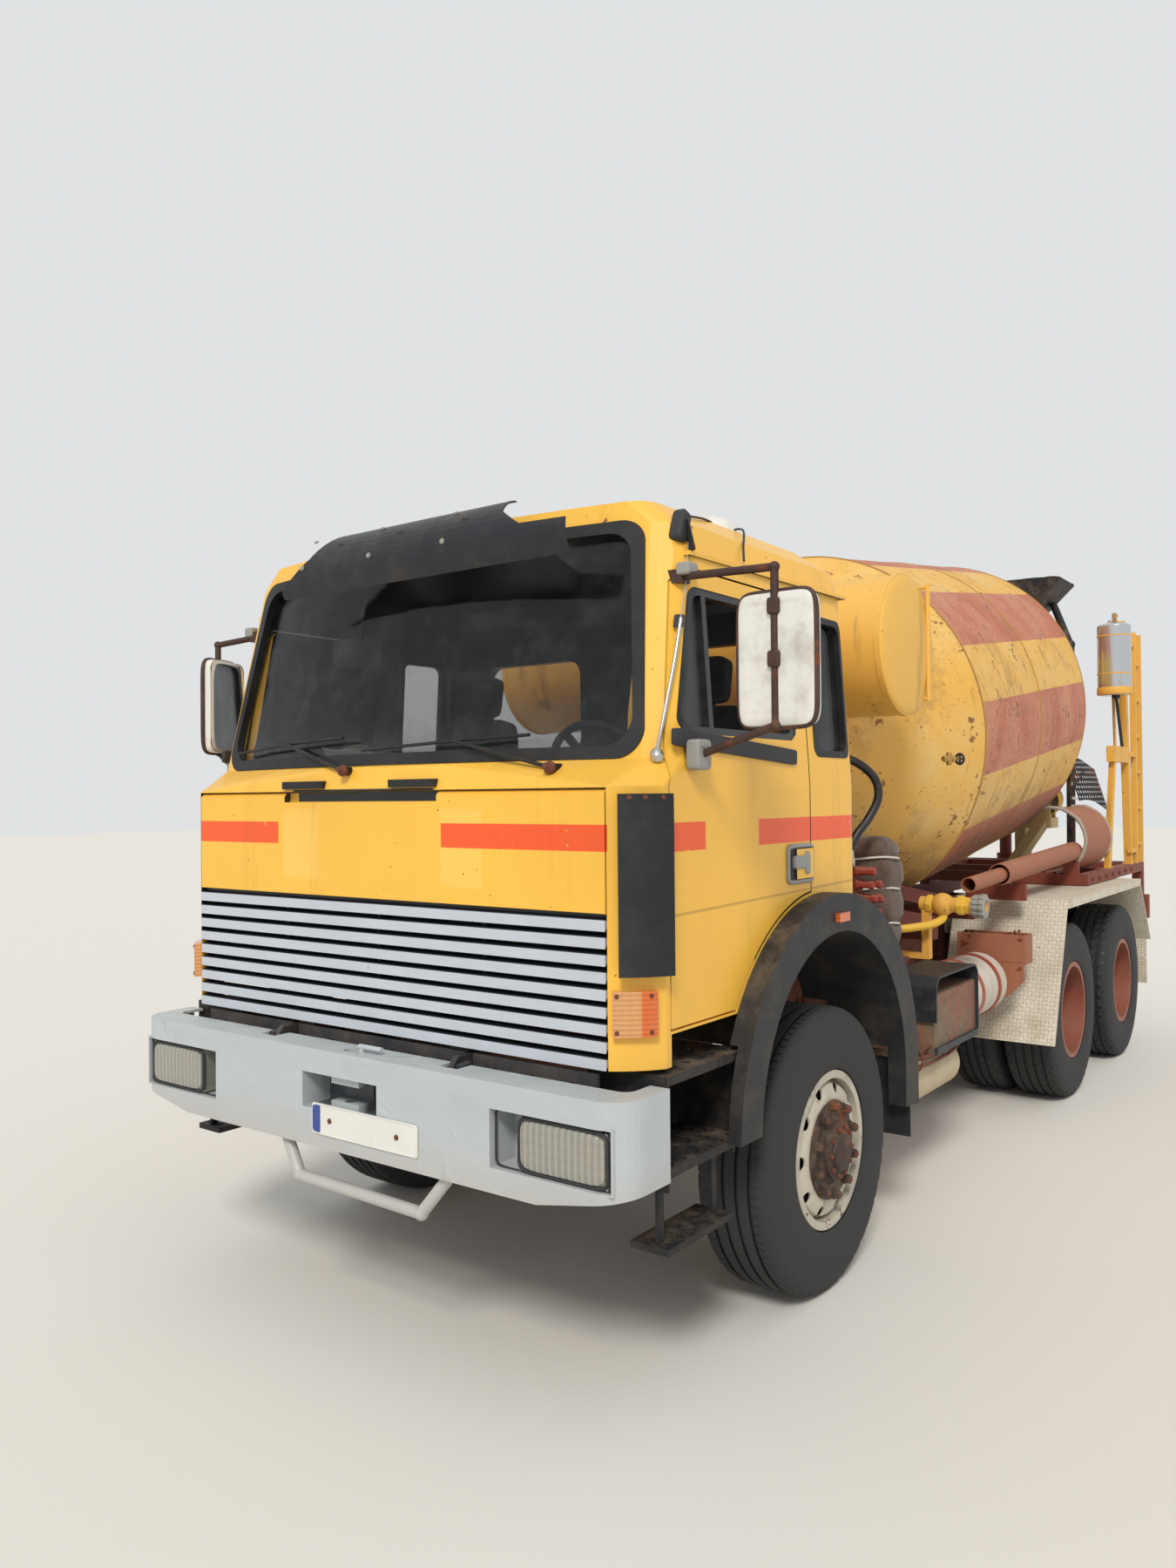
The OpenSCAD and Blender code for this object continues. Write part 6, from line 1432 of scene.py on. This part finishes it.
def build_stage():
    """Pale floor, soft key light and sky, and the camera of the photograph."""
    scene = bpy.context.scene
    scene.view_settings.view_transform = "Standard"
    floor = Finish("stage_floor").done(Base_Color=srgb(226, 222, 214), Roughness=0.9)
    reach = 60.0
    corners = [(-reach, -reach, 0), (-reach, reach, 0), (reach, -reach, 0), (reach, reach, 0)]
    mesh = bpy.data.meshes.new("stage_floor")
    mesh.from_pydata(corners, [], [(0, 2, 3, 1)])
    ground = bpy.data.objects.new("stage_floor", mesh)
    scene.collection.objects.link(ground)
    mesh.materials.append(floor)

    # Camera, reflections and glass see a plain pale sky; all else is lit by a dimmer, cooler one.
    world = bpy.data.worlds.new("studio")
    scene.world = world
    world.use_nodes = True
    tree = world.node_tree
    tree.nodes.clear()
    out = tree.nodes.new("ShaderNodeOutputWorld")
    mixer = tree.nodes.new("ShaderNodeMixShader")
    light, seen = tree.nodes.new("ShaderNodeBackground"), tree.nodes.new("ShaderNodeBackground")
    light.inputs[0].default_value, light.inputs[1].default_value = (0.93, 0.96, 1.0, 1), 0.62
    seen.inputs[0].default_value, seen.inputs[1].default_value = (*srgb(224, 226, 228), 1), 1.0
    path, last = tree.nodes.new("ShaderNodeLightPath"), None
    for kind in ("Is Camera Ray", "Is Glossy Ray", "Is Transmission Ray"):
        either = tree.nodes.new("ShaderNodeMath")
        either.operation = "MAXIMUM"
        tree.links.new(path.outputs[kind], either.inputs[0])
        if last:
            tree.links.new(last.outputs[0], either.inputs[1])
        last = either
    for source, target in ((last, mixer.inputs[0]), (light, mixer.inputs[1]), (seen, mixer.inputs[2]),
                           (mixer, out.inputs[0])):
        tree.links.new(source.outputs[0], target)

    sun = bpy.data.lights.new("key", "SUN")
    sun.energy, sun.angle, sun.color = 1.9, math.radians(14), (1.0, 0.96, 0.9)
    key = bpy.data.objects.new("key", sun)
    key.rotation_euler = (math.radians(48), 0, math.radians(118))
    scene.collection.objects.link(key)

    lens = bpy.data.cameras.new("camera")
    lens.sensor_fit, lens.sensor_width, lens.lens = "HORIZONTAL", 36.0, 34.97
    lens.clip_end = 200
    camera = bpy.data.objects.new("camera", lens)
    # Fitted to points of the photograph.
    right, up, back = (-0.59696, 0.80223, -0.00861), (0.00372, 0.01350, 0.99990), (0.80226, 0.59687, -0.01104)
    turn = Matrix([right, up, back]).transposed().to_4x4()
    camera.matrix_world = Matrix.Translation(at(4082.5, 3059.7, 1900.1)) @ turn
    scene.collection.objects.link(camera)
    scene.camera = camera


# ---- the add-on


def colour_setting(name, description, rgb):
    """Property that holds a colour."""
    return bpy.props.FloatVectorProperty(name=name, description=description, size=3, subtype="COLOR", min=0, max=1,
                                         default=srgb(*rgb))


def size_setting(name, description, metres):
    """Property that holds a size in metres."""
    return bpy.props.FloatProperty(name=name, description=description, unit="LENGTH", subtype="DISTANCE",
                                   min=0.001, precision=4, default=metres)


class MixerColours(bpy.types.PropertyGroup):
    """Colours that a user would change."""

    cab_yellow: colour_setting("Cab yellow", "Enamel of cab, doors and front flap", (244, 188, 66))
    stripe_orange: colour_setting("Stripe", "Stripes on the cab", (240, 88, 30))
    drum_yellow: colour_setting("Drum yellow", "Yellow of the drum", (230, 178, 82))
    drum_red: colour_setting("Drum red", "Faded stripes of the drum", (178, 92, 78))
    bumper_grey: colour_setting("Bumper", "Paint of the bumper", (182, 188, 190))
    grille_grey: colour_setting("Grille", "Paint of the slats", (190, 196, 204))
    guard_cream: colour_setting("Mudguards", "Paint of the tread plate", (222, 214, 194))


class MixerSizes(bpy.types.PropertyGroup):
    """Sizes that a user would change."""

    groove_depth: size_setting("Tread", "Depth of the tyres' grooves", 0.0105)
    hose_across: size_setting("Hoses", "Diameter of the hydraulic hoses", 0.040)
    weld_bead: size_setting("Weld beads", "Diameter of the beads round the drum", 0.009)


class MIXER_OT_stage(bpy.types.Operator):
    """Set the floor, the lights and the camera"""

    bl_idname = "mixer.stage"
    bl_label = "Stage"

    def execute(self, context):
        build_stage()
        return {"FINISHED"}


class MIXER_OT_hoses(bpy.types.Operator):
    """Build the hydraulic hoses"""

    bl_idname = "mixer.hoses"
    bl_label = "Hoses"

    def execute(self, context):
        build_hoses()
        return {"FINISHED"}


class MIXER_OT_finishes(bpy.types.Operator):
    """Give every CAD node its worn finish"""

    bl_idname = "mixer.finishes"
    bl_label = "Finishes"

    def execute(self, context):
        dress_nodes()
        small_finishes()
        return {"FINISHED"}


class MIXER_OT_tyres(bpy.types.Operator):
    """Build the treaded tyres"""

    bl_idname = "mixer.tyres"
    bl_label = "Tyres"

    def execute(self, context):
        build_tyres()
        return {"FINISHED"}


class MIXER_OT_seats(bpy.types.Operator):
    """Build the padded seats"""

    bl_idname = "mixer.seats"
    bl_label = "Seats"

    def execute(self, context):
        build_seats()
        return {"FINISHED"}


class MIXER_OT_bundle(bpy.types.Operator):
    """Build the tied cloth bundle"""

    bl_idname = "mixer.bundle"
    bl_label = "Cloth bundle"

    def execute(self, context):
        build_bundle()
        return {"FINISHED"}


class MIXER_OT_mirrors(bpy.types.Operator):
    """Build the mirrors' shells and faces"""

    bl_idname = "mixer.mirrors"
    bl_label = "Mirrors"

    def execute(self, context):
        build_mirrors()
        return {"FINISHED"}


class MIXER_OT_front(bpy.types.Operator):
    """Build the trim of the front"""

    bl_idname = "mixer.front"
    bl_label = "Front trim"

    def execute(self, context):
        build_front()
        return {"FINISHED"}


class MIXER_OT_cab_trim(bpy.types.Operator):
    """Build the trim of the cab"""

    bl_idname = "mixer.cab_trim"
    bl_label = "Cab trim"

    def execute(self, context):
        build_cab_trim()
        return {"FINISHED"}


class MIXER_OT_cab_inside(bpy.types.Operator):
    """Build what shows through the glass"""

    bl_idname = "mixer.cab_inside"
    bl_label = "Cab inside"

    def execute(self, context):
        build_cab_inside()
        return {"FINISHED"}


class MIXER_OT_hubs(bpy.types.Operator):
    """Build the front discs, studs and cap bolts of the wheels"""

    bl_idname = "mixer.hubs"
    bl_label = "Hubs"

    def execute(self, context):
        build_hubs()
        return {"FINISHED"}


class MIXER_OT_drum_trim(bpy.types.Operator):
    """Build the drum's weld beads and mixing blades"""

    bl_idname = "mixer.drum_trim"
    bl_label = "Drum trim"

    def execute(self, context):
        build_drum_trim()
        return {"FINISHED"}


class MIXER_OT_side_gear(bpy.types.Operator):
    """Build the fittings of the left side"""

    bl_idname = "mixer.side_gear"
    bl_label = "Side gear"

    def execute(self, context):
        build_side_gear()
        return {"FINISHED"}


class MIXER_OT_rear_gear(bpy.types.Operator):
    """Build the fittings of the rear"""

    bl_idname = "mixer.rear_gear"
    bl_label = "Rear gear"

    def execute(self, context):
        build_rear_gear()
        return {"FINISHED"}


OPERATORS = (MIXER_OT_stage, MIXER_OT_hoses, MIXER_OT_finishes, MIXER_OT_tyres, MIXER_OT_seats, MIXER_OT_bundle,
             MIXER_OT_mirrors, MIXER_OT_front, MIXER_OT_cab_trim, MIXER_OT_cab_inside, MIXER_OT_hubs,
             MIXER_OT_drum_trim, MIXER_OT_side_gear, MIXER_OT_rear_gear)


class MIXER_PT_panel(bpy.types.Panel):
    """Colours, sizes and steps of the mixer truck"""

    bl_idname = "MIXER_PT_panel"
    bl_label = "Mixer truck"
    bl_space_type = "VIEW_3D"
    bl_region_type = "UI"
    bl_category = "Mixer"

    def draw(self, context):
        for group, settings in ((MixerColours, context.scene.mixer_colours), (MixerSizes, context.scene.mixer_sizes)):
            for name in group.__annotations__:
                self.layout.prop(settings, name)
        for step in OPERATORS:
            self.layout.operator(step.bl_idname)


CLASSES = (MixerColours, MixerSizes, *OPERATORS, MIXER_PT_panel)


def register():
    for c in CLASSES:
        bpy.utils.register_class(c)
    bpy.types.Scene.mixer_colours = bpy.props.PointerProperty(type=MixerColours)
    bpy.types.Scene.mixer_sizes = bpy.props.PointerProperty(type=MixerSizes)


def unregister():
    del bpy.types.Scene.mixer_sizes
    del bpy.types.Scene.mixer_colours
    for c in reversed(CLASSES):
        bpy.utils.unregister_class(c)


def main():
    """Registers the add-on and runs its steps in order."""
    register()
    for step in OPERATORS:
        group, name = step.bl_idname.split(".")
        getattr(getattr(bpy.ops, group), name)()


if __name__ == "__main__":
    main()
